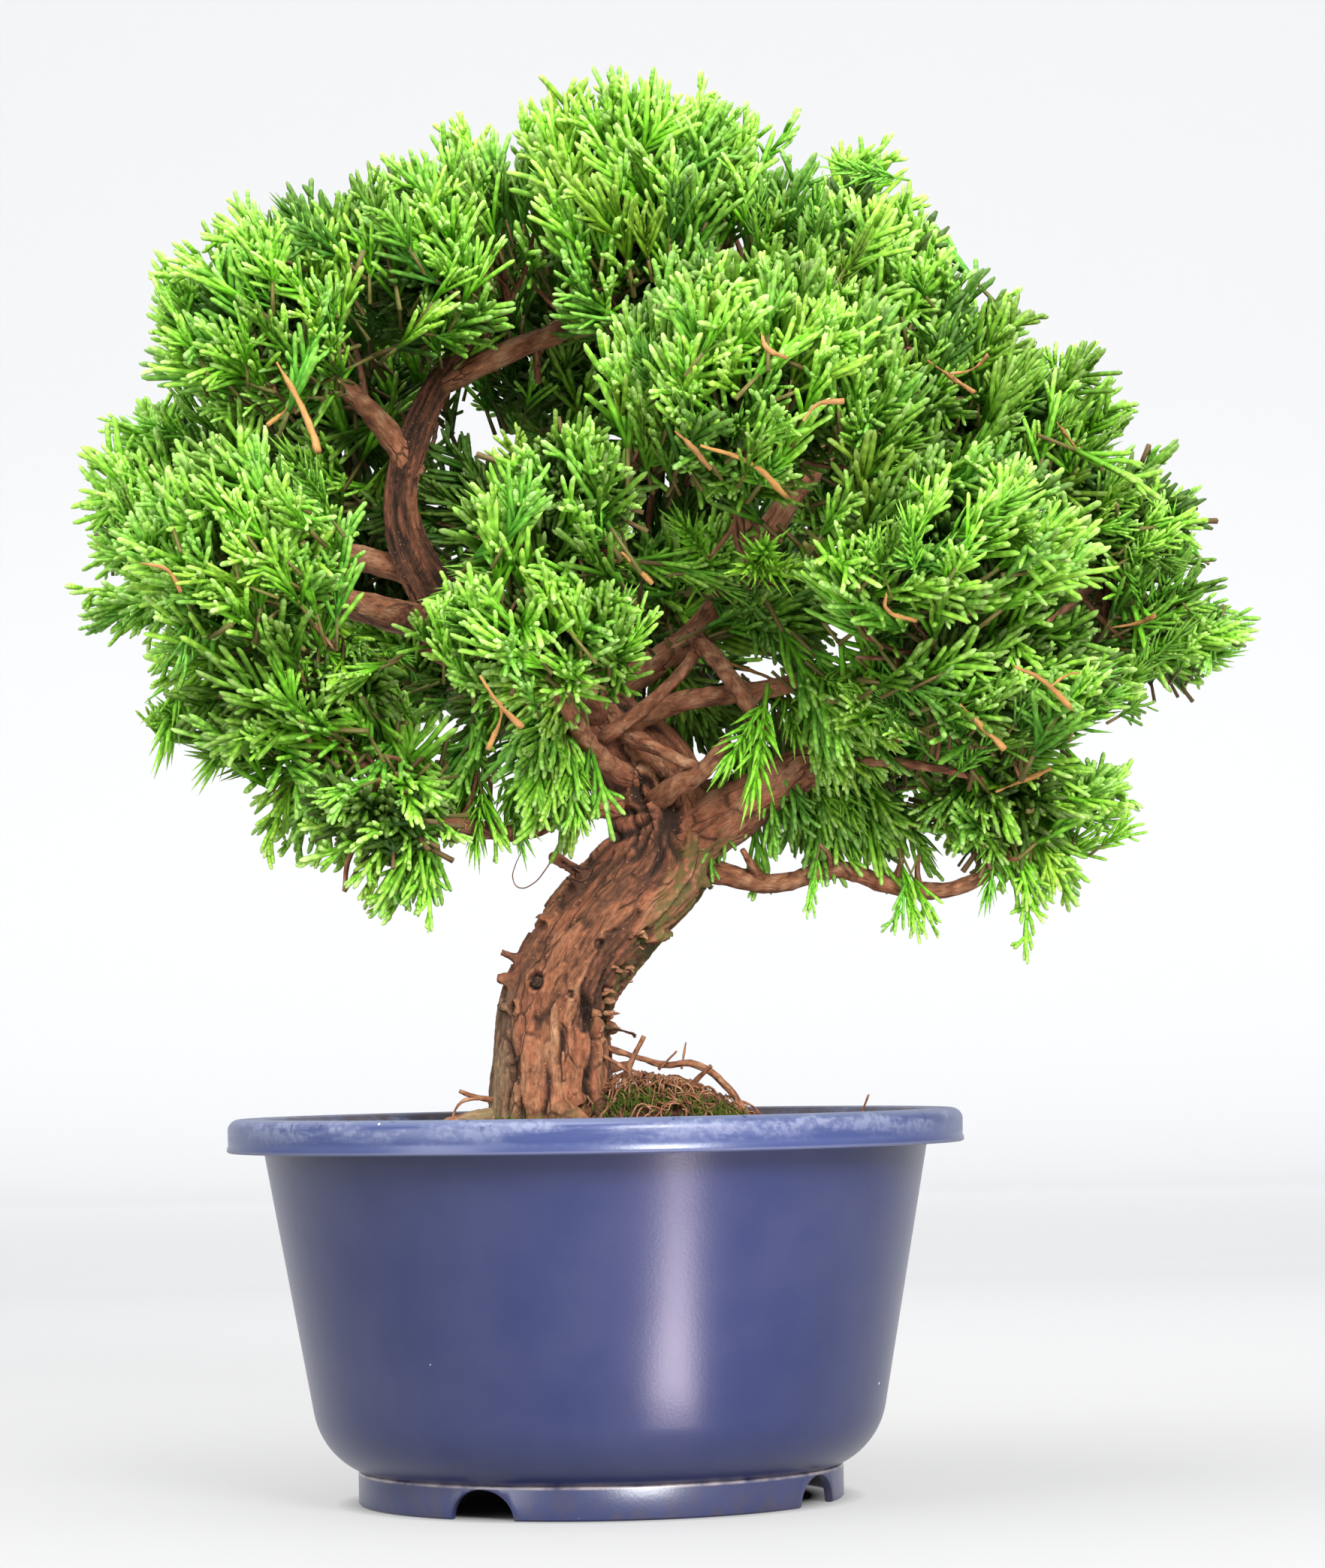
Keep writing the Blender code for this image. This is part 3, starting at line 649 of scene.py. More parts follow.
def makeMound():
    bpy.ops.mesh.primitive_grid_add(x_subdivisions=90, y_subdivisions=76, size=2, location=(0, 0, 0))
    mound = bpy.context.object
    mesh = mound.data
    spots = corners(mesh)
    for k, (u, v, _) in enumerate(spots):
        big = max(abs(u), abs(v))
        share = 0 if big == 0 else big / math.hypot(u, v)  # the square grid drawn in to a disc
        x = moundSizes["middle"][0] + moundSizes["reach"][0] * u * share
        y = moundSizes["middle"][1] + moundSizes["reach"][1] * v * share
        rough = noise.turbulence(Vector((x, y, 1)) / 3.2, 5, False) - 0.45
        away = 1 - max(0, big - 0.8) / 0.2
        lift = moundHeight(x, y) * (1 + 0.25 * noise.noise(Vector((x, y, 5)) / 6))
        spots[k] = x, y, soilHeight(x, y) - 0.8 + lift + (2.6 * rough + 1.0) * away
    setCorners(mesh, spots)
    thick = mound.modifiers.new("underside", "SOLIDIFY")
    thick.thickness = 0.6
    thick.offset = -1
    applyModifiers(mound)
    pick(mound)
    bpy.ops.object.shade_smooth()
    mound.name = "rootMound"
    return mound


soil = joined([makeSoil(), makeCrumbs()], "pottingSoil")
place(soil, soilMaterial, ["soil"])
place(makeMound(), moundMaterial, ["moss_hump"])
print("soil made")

litterSizes = {"fibres": 420, "moss": 1300, "seed": 11}


def fibreRoutes():  # dead root threads on the mound and the soil
    draw = random.Random(litterSizes["seed"])
    routes = []
    for k in range(litterSizes["fibres"]):
        if k % 3:
            x = moundSizes["middle"][0] + moundSizes["reach"][0] * draw.gauss(-0.1, 0.42)
            y = moundSizes["middle"][1] + moundSizes["reach"][1] * draw.gauss(0, 0.45)
        else:
            turn, away = draw.uniform(0, 2 * math.pi), 60 * math.sqrt(draw.random())
            x, y = away * math.cos(turn), away * math.sin(turn)
        turn = draw.uniform(0, 2 * math.pi)
        length = draw.uniform(4, 12)
        radius = draw.uniform(0.1, 0.26)
        route = []
        for _ in range(4):
            x += length / 4 * math.cos(turn)
            y += length / 4 * math.sin(turn)
            turn += draw.uniform(-0.8, 0.8)
            if math.hypot(x, y) > 64:
                break
            z = soilHeight(x, y) + moundHeight(x, y) + draw.uniform(-0.2, 2.2)
            route.append((x, y, z, radius))
        if len(route) > 2:
            routes.append(route)
    return routes


def makeMoss():
    draw = random.Random(litterSizes["seed"] + 1)
    bpy.ops.mesh.primitive_cone_add(vertices=4, radius1=0.28, radius2=0.05, depth=1, location=(0, 0, 0.5))
    blade = bpy.context.object
    bpy.ops.object.transform_apply(location=True)
    bpy.ops.object.shade_smooth()
    beds = [(22, -13, 12, 4), (8, -14, 7, 3), (-17, -10, 5, 2), (30, -12, 7, 4), (-30, 20, 9, 7),
            (5, 30, 8, 6), (34, 14, 7, 6)]
    copies = []
    for _ in range(litterSizes["moss"]):
        bx, by, rx, ry = draw.choice(beds)
        x, y = bx + rx * draw.gauss(0, 0.5), by + ry * draw.gauss(0, 0.5)
        if math.hypot(x, y) > 62:
            continue
        z = soilHeight(x, y) + moundHeight(x, y) + draw.uniform(-0.2, 0.6)
        lean = Matrix.Rotation(draw.gauss(0, 0.5), 4, "X") @ Matrix.Rotation(draw.gauss(0, 0.5), 4, "Y")
        size = Matrix.Diagonal((1, 1, draw.uniform(0.9, 2.4), 1))
        copies.append(copyOf(blade, Matrix.Translation((x, y, z)) @ lean @ size))
    bpy.data.objects.remove(blade)
    return joined(copies, "mossTufts")


place(makeMoss(), mossMaterial, [])
print("litter made")


trunkRoute = [
    (-11, 0, 66, 14.6), (-9.7, 0, 79, 13.6), (-8.9, 0, 92, 12.9), (-7.6, 0, 104, 12.3), (-1.8, 0, 116, 11.8),
    (6.8, 1, 126, 11.7), (15, 3, 136, 12.2), (14, 7, 149, 11.5), (3, 11, 162, 10.2), (-11, 14, 173, 8.8),
    (-26, 16, 185, 7.2), (-36, 16, 198, 5.0), (-40, 15, 212, 4.0), (-37, 13, 226, 3.8), (-29, 10, 241, 3.0),
    (-16, 4, 254, 2.2),
]
limbRoutes = {
    "limb_right_main": [(17, 2, 137, 8.0), (28, -1, 142.5, 6.4), (39, -4, 149.5, 5.3), (52, -7, 156, 4.3),
                        (68, -10, 163, 3.6), (86, -12, 170, 2.4)],
    "limb_right_low": [(18, 2, 134, 3.2), (29, 0, 130.8, 2.5), (39, -1, 128.8, 2.1), (52, -2, 131.5, 2.0),
                       (63, -3, 128, 1.9), (76, -4, 127, 1.7), (86, -5, 132, 1.4), (93, -6, 141, 1.0)],
    "limb_right_far": [(60, -8, 159.5, 3.0), (78, -2, 172, 2.6), (96, 2, 184, 2.2), (114, 2, 196, 1.5)],
    "limb_right_back": [(14, 8, 144, 5.0), (34, 22, 150, 4.0), (55, 34, 160, 3.2), (76, 46, 176, 2.4),
                        (88, 54, 190, 1.5)],
    "limb_middle_right": [(4, 8, 161, 2.8), (18, -6, 167, 2.3), (33, -12, 168.7, 2.1), (54, -17, 172, 1.8),
                          (80, -24, 179, 1.3)],
    "limb_upper_right": [(-2, 12, 167, 3.8), (10, 8, 174, 3.2), (22, 5, 182, 3.0), (33, 2, 195, 2.8),
                         (46, 0, 214, 2.5), (62, 0, 232, 2.0), (76, 0, 244, 1.4)],
    "limb_crossing": [(22, 5, 182.5, 2.2), (27, -10, 176, 1.9), (32, -20, 168, 1.8), (37, -25, 159, 1.5)],
    "limb_front": [(2, 10, 163, 3.4), (0, -10, 172, 2.8), (-4, -34, 188, 2.3), (-5, -54, 206, 1.5)],
    "limb_front_low": [(10, 2, 151, 2.6), (3, -13, 155, 2.2), (-3, -32, 163, 1.9), (-8, -54, 174, 1.4)],
    "limb_front_spur": [(12, 4, 145, 2.8), (17, -9, 148.5, 2.5), (24, -15, 152.5, 1.9), (29, -19, 158, 1.2)],
    "limb_left_low": [(6, 0, 146, 2.8), (-4, -11, 144.5, 2.3), (-15, -20, 140, 2.1), (-29, -26, 142.5, 1.8),
                      (-40, -30, 149.5, 1.5), (-54, -32, 160, 1.1)],
    "limb_left": [(-24, 16, 184, 4.2), (-42, 6, 188, 3.5), (-58, -12, 192, 2.7), (-70, -30, 198, 1.6)],
    "limb_left_back": [(-34, 16, 197, 3.2), (-54, 22, 203, 2.7), (-72, 22, 208, 2.2), (-86, 18, 214, 1.4)],
    "limb_upper_left": [(-37.5, 15, 219, 3.4), (-40.5, 12, 225, 2.9), (-48, 6, 234, 2.2),
                        (-60, -4, 243, 1.9), (-70, -10, 251, 1.3)],
    "limb_crown_right": [(-31, 10.5, 238, 2.7), (-10, 4, 246, 2.3), (14, -4, 252, 2.0), (38, -8, 257, 1.4)],
    "limb_front_right": [(33, 2, 196, 2.4), (33, -18, 206, 2.2), (30, -38, 220, 1.9), (28, -54, 234, 1.2)],
    "limb_back": [(4, 12, 158, 4.8), (6, 34, 170, 3.8), (8, 56, 188, 2.8), (12, 76, 206, 1.6)],
    "limb_back_left": [(-14, 15, 175, 4.0), (-26, 34, 180, 3.2), (-38, 54, 186, 2.4), (-46, 68, 194, 1.5)],
}
rootRoutes = {
    "root_left": [(-18, -3, 79, 3.4), (-26, -7, 79.5, 2.6), (-34, -11, 77.2, 1.8), (-40, -14, 75.4, 1.0)],
    "root_front": [(-8, -9, 81, 3.4), (-5, -17, 80, 2.8), (-1, -25, 77.5, 2.2), (3, -32, 74.8, 1.4)],
    "root_back": [(-14, 9, 81, 3.4), (-18, 18, 79.5, 2.6), (-24, 27, 77, 1.8), (-29, 34, 74.8, 1.0)],
    "root_right_arch": [(-2, -2, 96.5, 1.0), (8, -3, 92.9, 0.6), (15, -3, 91.0, 0.8), (21, -3, 91, 0.85),
                        (27.5, -3, 86.5, 0.8), (33, -4, 78.5, 0.7)],
    "root_right_back": [(-4, 8, 83, 2.6), (10, 17, 82, 2.0), (22, 24, 79.5, 1.4), (31, 29, 75.5, 0.9)],
}
stubRoutes = [  # pegs and cut ends on the trunk
    [(-13, -2, 113, 2.0), (-17.8, -3, 114.6, 1.5), (-19.7, -3.5, 115.5, 1.3)],
    [(-14, -4, 109.5, 2.0), (-19.0, -5, 109.6, 1.8), (-20.6, -5, 109.8, 1.3)],
    [(-10, -6, 109, 1.3), (-11.8, -12.2, 109, 1.0)],
    [(-14, -5, 103, 1.9), (-18.4, -7, 103.5, 1.6), (-20.2, -8, 103.6, 1.4)],
    [(0, -3, 99, 1.6), (5.5, -4, 98.4, 1.3), (9.4, -4, 97.0, 1.2)],
    [(4, -4, 119.5, 2.6), (14, -4, 118, 1.8), (17, -4, 118.0, 0.8)],
    [(-4, -9, 84, 1.8), (-3.2, -13, 84.2, 1.5), (-2.8, -14.6, 84.3, 1.4)],
    [(-8, -6, 121.5, 1.6), (-11.2, -8, 122.3, 0.8), (-12.4, -8, 122.4, 0.5)],
    [(-1, -4, 128.5, 2.0), (-4.2, -7, 130.2, 1.4), (-5.4, -8, 131.0, 1.1)],
    [(0, -2, 131, 1.8), (-4, -5, 133, 0.9), (-8.2, -6, 135.4, 0.6)],
    [(2, 8, 90, 2.0), (6, 13, 91, 1.6), (8, 15, 91.5, 1.4)],
    [(-12, 9, 104, 2.2), (-15, 13, 105, 1.7), (-16, 14, 105.5, 1.4)],
    [(20, 0, 132, 2.4), (24.5, -3, 129, 1.2), (26, -3, 127.5, 0.6)],
]
thinWood = [  # small forks, dry twigs and rootlets
    [(23, -2, 178.5, 1.4), (21, -6, 175, 1.3), (15, -6, 169, 1.4), (3, -3, 160, 1.8)],
    [(8, -3, 160, 1.6), (15, -10, 157, 1.4), (20, -13, 154.2, 1.3), (25, -15, 152.5, 1.0)],
    [(46, -10, 152, 1.9), (58, -16, 153.5, 1.3), (70, -22, 152, 1.0), (82, -24, 149, 0.6)],
    [(37, -1, 129, 1.4), (34.5, -3, 132, 1.0), (32, -5, 136, 0.6)],
    [(6, -6, 87, 0.8), (8, -7, 92, 0.62), (10.6, -8, 97, 0.55)],
    [(20, -6, 86, 0.75), (22.2, -7, 88.4, 0.6), (24.6, -8, 90.6, 0.5)],
    [(18.4, -3, 90, 0.3), (18.8, -3.5, 92.5, 0.24), (19.4, -4, 95.6, 0.16)],
    [(13.5, -4, 90, 0.4), (16.4, -5, 92.8, 0.3), (17.4, -5, 93.8, 0.2)],
    [(2, -7, 93, 0.5), (6, -8, 90.5, 0.4), (9, -9, 87.4, 0.3)],
    [(26, -4, 88, 0.35), (29.5, -7, 84, 0.3), (30.5, -8, 80, 0.2)],
    [(-20, -6, 84.2, 0.8), (-24.6, -7, 84.8, 0.55), (-28.4, -7, 86.2, 0.4)],
    [(-24, -7, 84.6, 0.4), (-28, -8, 83.8, 0.3), (-30.4, -9, 79, 0.2)],
    [(55, -8, 75, 0.35), (56, -8, 80, 0.3), (57.5, -9, 84, 0.2)],
    [(-6, -10, 95, 0.45), (-6.4, -12.6, 92, 0.35), (-6.1, -13.2, 88, 0.3)],
]
flakes = {"count": 46, "low": 96.0, "high": 122.0, "seed": 8}
fibreLoop = [(-8, -7, 134.8, 0.16), (-9.5, -8, 132.4, 0.14), (-12.2, -9, 129.4, 0.13), (-15, -9, 128.6, 0.13),
             (-16.4, -8, 130.6, 0.13), (-15.8, -7, 133.6, 0.12), (-14.6, -6, 136.2, 0.1)]
barkSizes = {"voxel": 0.56, "limbSteps": 9, "plateWidth": 4.6, "plateLength": 17.0, "crackDepth": 1.5,
             "crackWidth": 0.16, "seed": 3}


def smoothRoute(route, steps=8):  # points along a smooth curve through the route
    spots = [np.array(p, dtype=float) for p in route]
    spots = [2 * spots[0] - spots[1]] + spots + [2 * spots[-1] - spots[-2]]
    found = []
    for a, b, c, d in zip(spots, spots[1:], spots[2:], spots[3:]):
        for k in range(steps):
            t = k / steps
            bend = (2 * a - 5 * b + 4 * c - d) * t**2 + (3 * b - a - 3 * c + d) * t**3
            found.append(0.5 * (2 * b + (c - a) * t + bend))
    found.append(spots[-2])
    return np.array(found)


def alongAndAround(spots, route):  # distance along it, angle round it and radius there, for every vertex
    path = smoothRoute(route)
    lengths = np.concatenate([[0], np.cumsum(np.linalg.norm(np.diff(path[:, :3], axis=0), axis=1))])
    nearest = np.argmin(((spots[:, None, :] - path[None, :, :3]) ** 2).sum(2), axis=1)
    tangents = np.gradient(path[:, :3], axis=0)
    tangents /= np.linalg.norm(tangents, axis=1)[:, None]
    offset = spots - path[nearest, :3]
    tangent = tangents[nearest]
    along = lengths[nearest] + (offset * tangent).sum(1)
    side = np.cross(tangent, [0, 1, 0])
    side /= np.linalg.norm(side, axis=1)[:, None]
    front = np.cross(tangent, side)
    around = np.arctan2((offset * front).sum(1), (offset * side).sum(1))
    return along, around, path[nearest, 3]


def step01(value, low, high):
    t = np.clip((value - low) / (high - low), 0, 1)
    return t * t * (3 - 2 * t)


def vertexNormals(mesh):
    normals = np.empty(len(mesh.vertices) * 3)
    mesh.vertex_normals.foreach_get("vector", normals)
    return normals.reshape(-1, 3)


def keepBarkSpace(mesh, along, around, radius):  # lets the bark's grain follow the wood
    space = np.stack([np.cos(around) * radius, np.sin(around) * radius, along], axis=1)
    layer = mesh.attributes.get("barkSpace") or mesh.attributes.new("barkSpace", "FLOAT_VECTOR", "POINT")
    layer.data.foreach_set("vector", space.astype(np.float32).ravel())


knots = [  # (x, z, radius, depth) on the trunk's front
    (-11.8, 109, 2.0, 1.9), (-4.6, 106.2, 0.9, 0.5), (11.2, 149.0, 3.4, 1.5), (-17.0, 103.6, 1.1, 0.6),
    (1.6, 116.5, 1.3, 0.9),
]
clefts = [  # long dark cracks on the trunk's front: (x, lowest, highest, width, depth)
    (-0.4, 81, 107, 0.8, 2.4), (-10.2, 79, 92, 0.55, 1.5), (-17.6, 80, 99, 0.4, 1.1),
    (3.2, 96, 109, 0.7, 1.8),
    (-7.0, 91, 100, 0.5, 1.1),
]


burl = {"x": 16, "z": 143, "folds": 12, "ring": 8, "width": 5}  # folded wood where the limbs part


def carveTrunk(trunk):
    mesh = trunk.data
    spots = corners(mesh)
    normals = vertexNormals(mesh)
    along, around, radius = alongAndAround(spots, trunkRoute)
    girth = 12.0
    noise.seed_set(barkSizes["seed"])  # noise_vector starts from the clock otherwise
    moved = np.zeros(len(spots))
    height = np.zeros(len(spots))
    width, length, narrow = barkSizes["plateWidth"], barkSizes["plateLength"], barkSizes["crackWidth"]
    for k in range(len(spots)):
        a, s = around[k], along[k]
        p = Vector((math.cos(a) * girth / width, math.sin(a) * girth / width, s / length))
        warp = noise.noise_vector(p * 1.6)
        p += Vector((warp.x, warp.y, warp.z)) * 0.3
        gaps, cells = noise.voronoi(p)
        crack = min((gaps[1] - gaps[0]) / narrow, 1.0)
        level = noise.cell(cells[0] * 3.1)
        streak = noise.noise(Vector((math.cos(a) * girth / 1.2, math.sin(a) * girth / 1.2, s / 9)))
        fine = noise.noise(Vector(spots[k]) / 0.9)
        big = noise.noise(Vector((math.cos(a) * 1.6, math.sin(a) * 1.6, s / 24)))
        deep = noise.noise(Vector((math.cos(a) * 2.6, math.sin(a) * 2.6, s / 20 + 7)))
        deep = min(max((deep - 0.02) / 0.4, 0), 1)
        cut = (1 - crack) * (0.12 + 0.88 * deep)
        ridge = big + 0.22 * streak + 0.16 * fine
        moved[k] = ridge - barkSizes["crackDepth"] * cut + 0.75 * (level - 0.5)
        height[k] = 0.68 + 0.24 * streak + 0.26 * (level - 0.5) + 0.18 * fine - 0.9 * cut
    front = normals[:, 1] < 0.1
    for x, z, size, depth in knots:
        away = np.hypot(spots[:, 0] - x, (spots[:, 2] - z) * 0.8) / size
        ring = np.exp(-((away - 1.0) ** 2) / 0.08) * 0.8
        pit = np.exp(-((away - 0.5) ** 2) / 0.06) + 0.5 * np.exp(-(away**2) / 0.1)
        moved += np.where(front, ring - depth * pit, 0)
        height += np.where(front, 0.25 * ring - 1.3 * np.exp(-((away - 0.55) ** 2) / 0.05), 0)
    fan = np.hypot(spots[:, 0] - burl["x"], spots[:, 2] - burl["z"])
    turn = np.arctan2(spots[:, 2] - burl["z"], spots[:, 0] - burl["x"])
    ring = np.exp(-(((fan - burl["ring"]) / burl["width"]) ** 2))
    fold = np.cos(turn * burl["folds"] + 1.2 * np.sin(fan * 0.5)) * ring
    fold = np.where(front & (spots[:, 2] < 146) & (spots[:, 2] > 128) & (spots[:, 0] < 20), fold, 0)
    moved += 1.0 * fold
    height += 0.35 * fold - 0.35 * np.abs(fold) - 0.5 * np.exp(-((fan / 3.5) ** 2)) * front
    for x, lowest, highest, size, depth in clefts:
        way = x + 0.8 * np.sin(spots[:, 2] * 0.35 + x)
        cleft = np.exp(-(((spots[:, 0] - way) / size) ** 2))
        cleft *= step01(spots[:, 2], lowest, lowest + 3) * (1 - step01(spots[:, 2], highest - 4, highest))
        moved -= np.where(front, depth * cleft, 0)
        height -= np.where(front, 1.0 * cleft, 0)
    fade = step01(along, -5, 8)
    setCorners(mesh, spots + normals * (moved * (0.3 + 0.7 * np.clip(radius / 12, 0, 1)) * fade)[:, None])
    # painted shade: the upper trunk is painted darker, as it lies in the crown's shade
    height -= 0.22 * step01(spots[:, 2], 178, 200)
    dead = (1 - step01(spots[:, 0], -18.5, -15.5)) * (1 - step01(spots[:, 2], 104, 112))
    moss = step01(spots[:, 0] - (spots[:, 2] - 100) * 0.5, -0.5, 3.5) * step01(spots[:, 2], 97, 104)
    moss *= (1 - step01(spots[:, 2], 139, 147)) * (1 - step01(spots[:, 0], 24, 31))
    foot = 1 - step01(spots[:, 2], 80, 84)
    colours = np.stack([np.clip(height, 0, 1), dead, np.clip(moss + 0.6 * foot, 0, 1),
                        np.zeros(len(spots))], axis=1)
    paint(mesh, "bark", colours)
    keepBarkSpace(mesh, along, around, girth)


def makeTrunk():
    routes = [trunkRoute] + [limbRoutes["limb_right_main"][:4]] + stubRoutes
    for name in ("limb_upper_right", "limb_back", "limb_right_back", "limb_left", "limb_back_left"):
        routes.append(limbRoutes[name][:2])
    routes += [rootRoutes[name][:3] for name in ("root_left", "root_front", "root_back", "root_right_back")]
    trunk = tubes("fissuredTrunk", routes, 6, 8)
    trunk.data.remesh_voxel_size = barkSizes["voxel"]
    trunk.data.remesh_voxel_adaptivity = 0
    pick(trunk)
    bpy.ops.object.voxel_remesh()
    smooth = trunk.modifiers.new("soften", "SMOOTH")
    smooth.iterations = 5
    applyModifiers(trunk)
    carveTrunk(trunk)
    pick(trunk)
    bpy.ops.object.shade_smooth()
    return trunk


def roughTube(name, route, resolution, steps, amount, dry=0.0):  # a thin tube with bark relief and tone
    obj = tubes(name, [route], resolution, steps)
    mesh = obj.data
    spots = corners(mesh)
    normals = vertexNormals(mesh)
    along, around, radius = alongAndAround(spots, route)
    moved = np.zeros(len(spots))
    height = np.zeros(len(spots))
    for k, spot in enumerate(spots):
        p = Vector(spot)
        lump = noise.noise(p / 3.0)
        fine = noise.noise(p / 1.0)
        moved[k] = amount * (0.9 * lump + 0.6 * fine)
        height[k] = 0.70 + 0.35 * lump + 0.4 * fine
    setCorners(mesh, spots + normals * moved[:, None])
    plain = np.zeros(len(spots))
    paint(mesh, "bark", np.stack([np.clip(height, 0, 1), plain, plain, plain + dry], axis=1))
    keepBarkSpace(mesh, along, around, radius)
    return obj


def flakeRoutes():  # frayed bark that stands off the trunk's right side
    draw = random.Random(flakes["seed"])
    routes = []
    for _ in range(flakes["count"]):
        z = draw.uniform(flakes["low"], flakes["high"])
        edge = np.interp(z, [p[2] for p in trunkRoute[:7]], [p[0] + p[3] for p in trunkRoute[:7]])
        y = draw.uniform(-8, 6)
        x = edge - 1.6 - 0.05 * y * y
        reach = draw.uniform(1.2, 3.2)
        drop = draw.uniform(-1.6, 0.8)
        wide = draw.uniform(0.5, 1.1)
        routes.append([(x, y, z, wide), (x + 0.6 * reach, y - 0.4, z + 0.4 * drop, 0.75 * wide),
                       (x + reach, y - 0.6, z + drop, 0.16)])
    return routes


def makeLimbs():
    limbs = [roughTube(name, route, 3, barkSizes["limbSteps"], 0.42) for name, route in limbRoutes.items()]
    limbs += [roughTube("twig", route, 2, 7, 0.16) for route in thinWood]
    limbs += [roughTube("flake", route, 1, 4, 0.3) for route in flakeRoutes()]
    limbs.append(roughTube("fibre", fibreLoop, 1, 5, 0.0))
    return joined(limbs, "barkLimbs")


def makeRoots():
    roots = [roughTube(name, route, 3, 8, 0.3) for name, route in rootRoutes.items()]
    roots += [roughTube("thread", route, 0, 3, 0.0) for route in fibreRoutes()]
    return joined(roots, "surfaceRoots")


place(makeTrunk(), barkMaterial, ["trunk"])
place(makeLimbs(), barkMaterial, list(limbRoutes))
place(makeRoots(), barkMaterial, list(rootRoutes))
print("wood made")


fingerLength = 10.0
fingerShapes = {  # (height, radius, sideways) from the base to the blunt tip
    "straight": (5, [(0, 0.50, 0), (5, 0.61, 0.35), (9.3, 0.58, 0.3), (10, 0.26, 0.2)]),
    "bent": (5, [(0, 0.50, 0), (4.4, 0.61, 0.5), (9.0, 0.58, 1.9), (9.8, 0.26, 2.3)]),
    "bud": (4, [(0, 0.50, 0), (8.2, 0.58, 0.4), (10, 0.26, 0.6)]),
    "needle": (4, [(0, 0.26, 0), (4, 0.44, 0.45), (10, 0.03, 1.8)]),
    "stem": (4, [(0, 0.58, 0), (10, 0.46, 0)]),
    "coarse": (4, [(0, 0.55, 0), (7.5, 0.80, 0.6), (10, 0.34, 1.2)]),
}


def modelFinger(name, sides, rings):
    clearSelection()
    bpy.ops.mesh.primitive_circle_add(vertices=sides, radius=rings[0][1], fill_type="NGON",
                                      location=(0, 0, 0))
    finger = bpy.context.object
    bpy.ops.object.mode_set(mode="EDIT")
    bpy.ops.mesh.select_all(action="SELECT")
    for (low, wide, side), (high, narrow, across) in zip(rings, rings[1:]):
        bpy.ops.mesh.extrude_region_move(TRANSFORM_OT_translate={"value": (across - side, 0, high - low)})
        bpy.ops.transform.resize(value=(narrow / wide, narrow / wide, 1), center_override=(across, 0, high))
    bpy.ops.mesh.select_all(action="SELECT")
    bpy.ops.mesh.normals_make_consistent(inside=False)
    bpy.ops.object.mode_set(mode="OBJECT")
    bpy.ops.object.shade_smooth()
    mesh = finger.data
    finger.name = mesh.name = name
    spots = corners(mesh)
    age = spots[:, 2] / fingerLength
    paint(mesh, "growth", np.stack([age, age * 0, age * 0 + 1, age * 0], axis=1))
    layer = mesh.uv_layers.get("UVMap") or mesh.uv_layers.new(name="UVMap")
    for loop in mesh.loops:
        x, y, z = spots[loop.vertex_index]
        layer.data[loop.index].uv = (math.atan2(y, x) / math.pi * 1.5, z * 0.9)
    return finger


fingers = {name: modelFinger(name, *shape) for name, shape in fingerShapes.items()}


def layFinger(kind, start, direction, length, width=1.0, roll=0.0, age=(0.0, 1.0), wood=0.0):
    turn = direction.to_track_quat("Z", "X").to_matrix().to_4x4() @ Matrix.Rotation(roll, 4, "Z")
    size = Matrix.Diagonal((width, width, length / fingerLength, 1))
    made = copyOf(fingers[kind], Matrix.Translation(start) @ turn @ size)
    growth = painted(made.data, "growth")
    growth[:, 0] = age[0] + (age[1] - age[0]) * growth[:, 0]
    growth[:, 3] = wood
    paint(made.data, "growth", growth)
    return made


sprayRecipes = {
    "fan": {"copies": 5, "stem": 8, "leader": 15, "shoots": 9, "reach": 16.0,
            "spread": 33, "lobes": 0.5, "flat": 0.65, "curve": 3.0},
    "tuft": {"copies": 4, "stem": 8, "leader": 11, "shoots": 10, "reach": 14.0,
             "spread": 36, "lobes": 0.35, "flat": 0.2, "curve": 1.5},
    "plume": {"copies": 4, "stem": 7, "leader": 22, "shoots": 12, "reach": 12.0,
              "spread": 30, "lobes": 0.4, "flat": 0.5, "curve": 4.0},
    "fork": {"copies": 4, "stem": 10, "leader": 15, "shoots": 6, "reach": 16.0,
             "spread": 27, "lobes": 0.9, "flat": 0.4, "curve": 3.0},
    "trailing": {"copies": 3, "stem": 10, "leader": 26, "shoots": 11, "reach": 9.0,
                 "spread": 42, "lobes": 0.9, "flat": 0.7, "curve": 6.0},
    "inner": {"copies": 3, "stem": 6, "leader": 15, "shoots": 14, "reach": 13.0,
              "spread": 46, "lobes": 0.0, "flat": 0.1, "curve": 2.0, "finger": "coarse"},
}
needleRecipe = {"copies": 3, "length": 17, "whorls": 8, "reach": 7.0}


def leaning(direction, degrees, turn):  # direction tipped away by some degrees, towards turn
    side = Quaternion(direction, turn) @ direction.orthogonal().normalized()
    return (direction * math.cos(math.radians(degrees)) + side * math.sin(math.radians(degrees))).normalized()


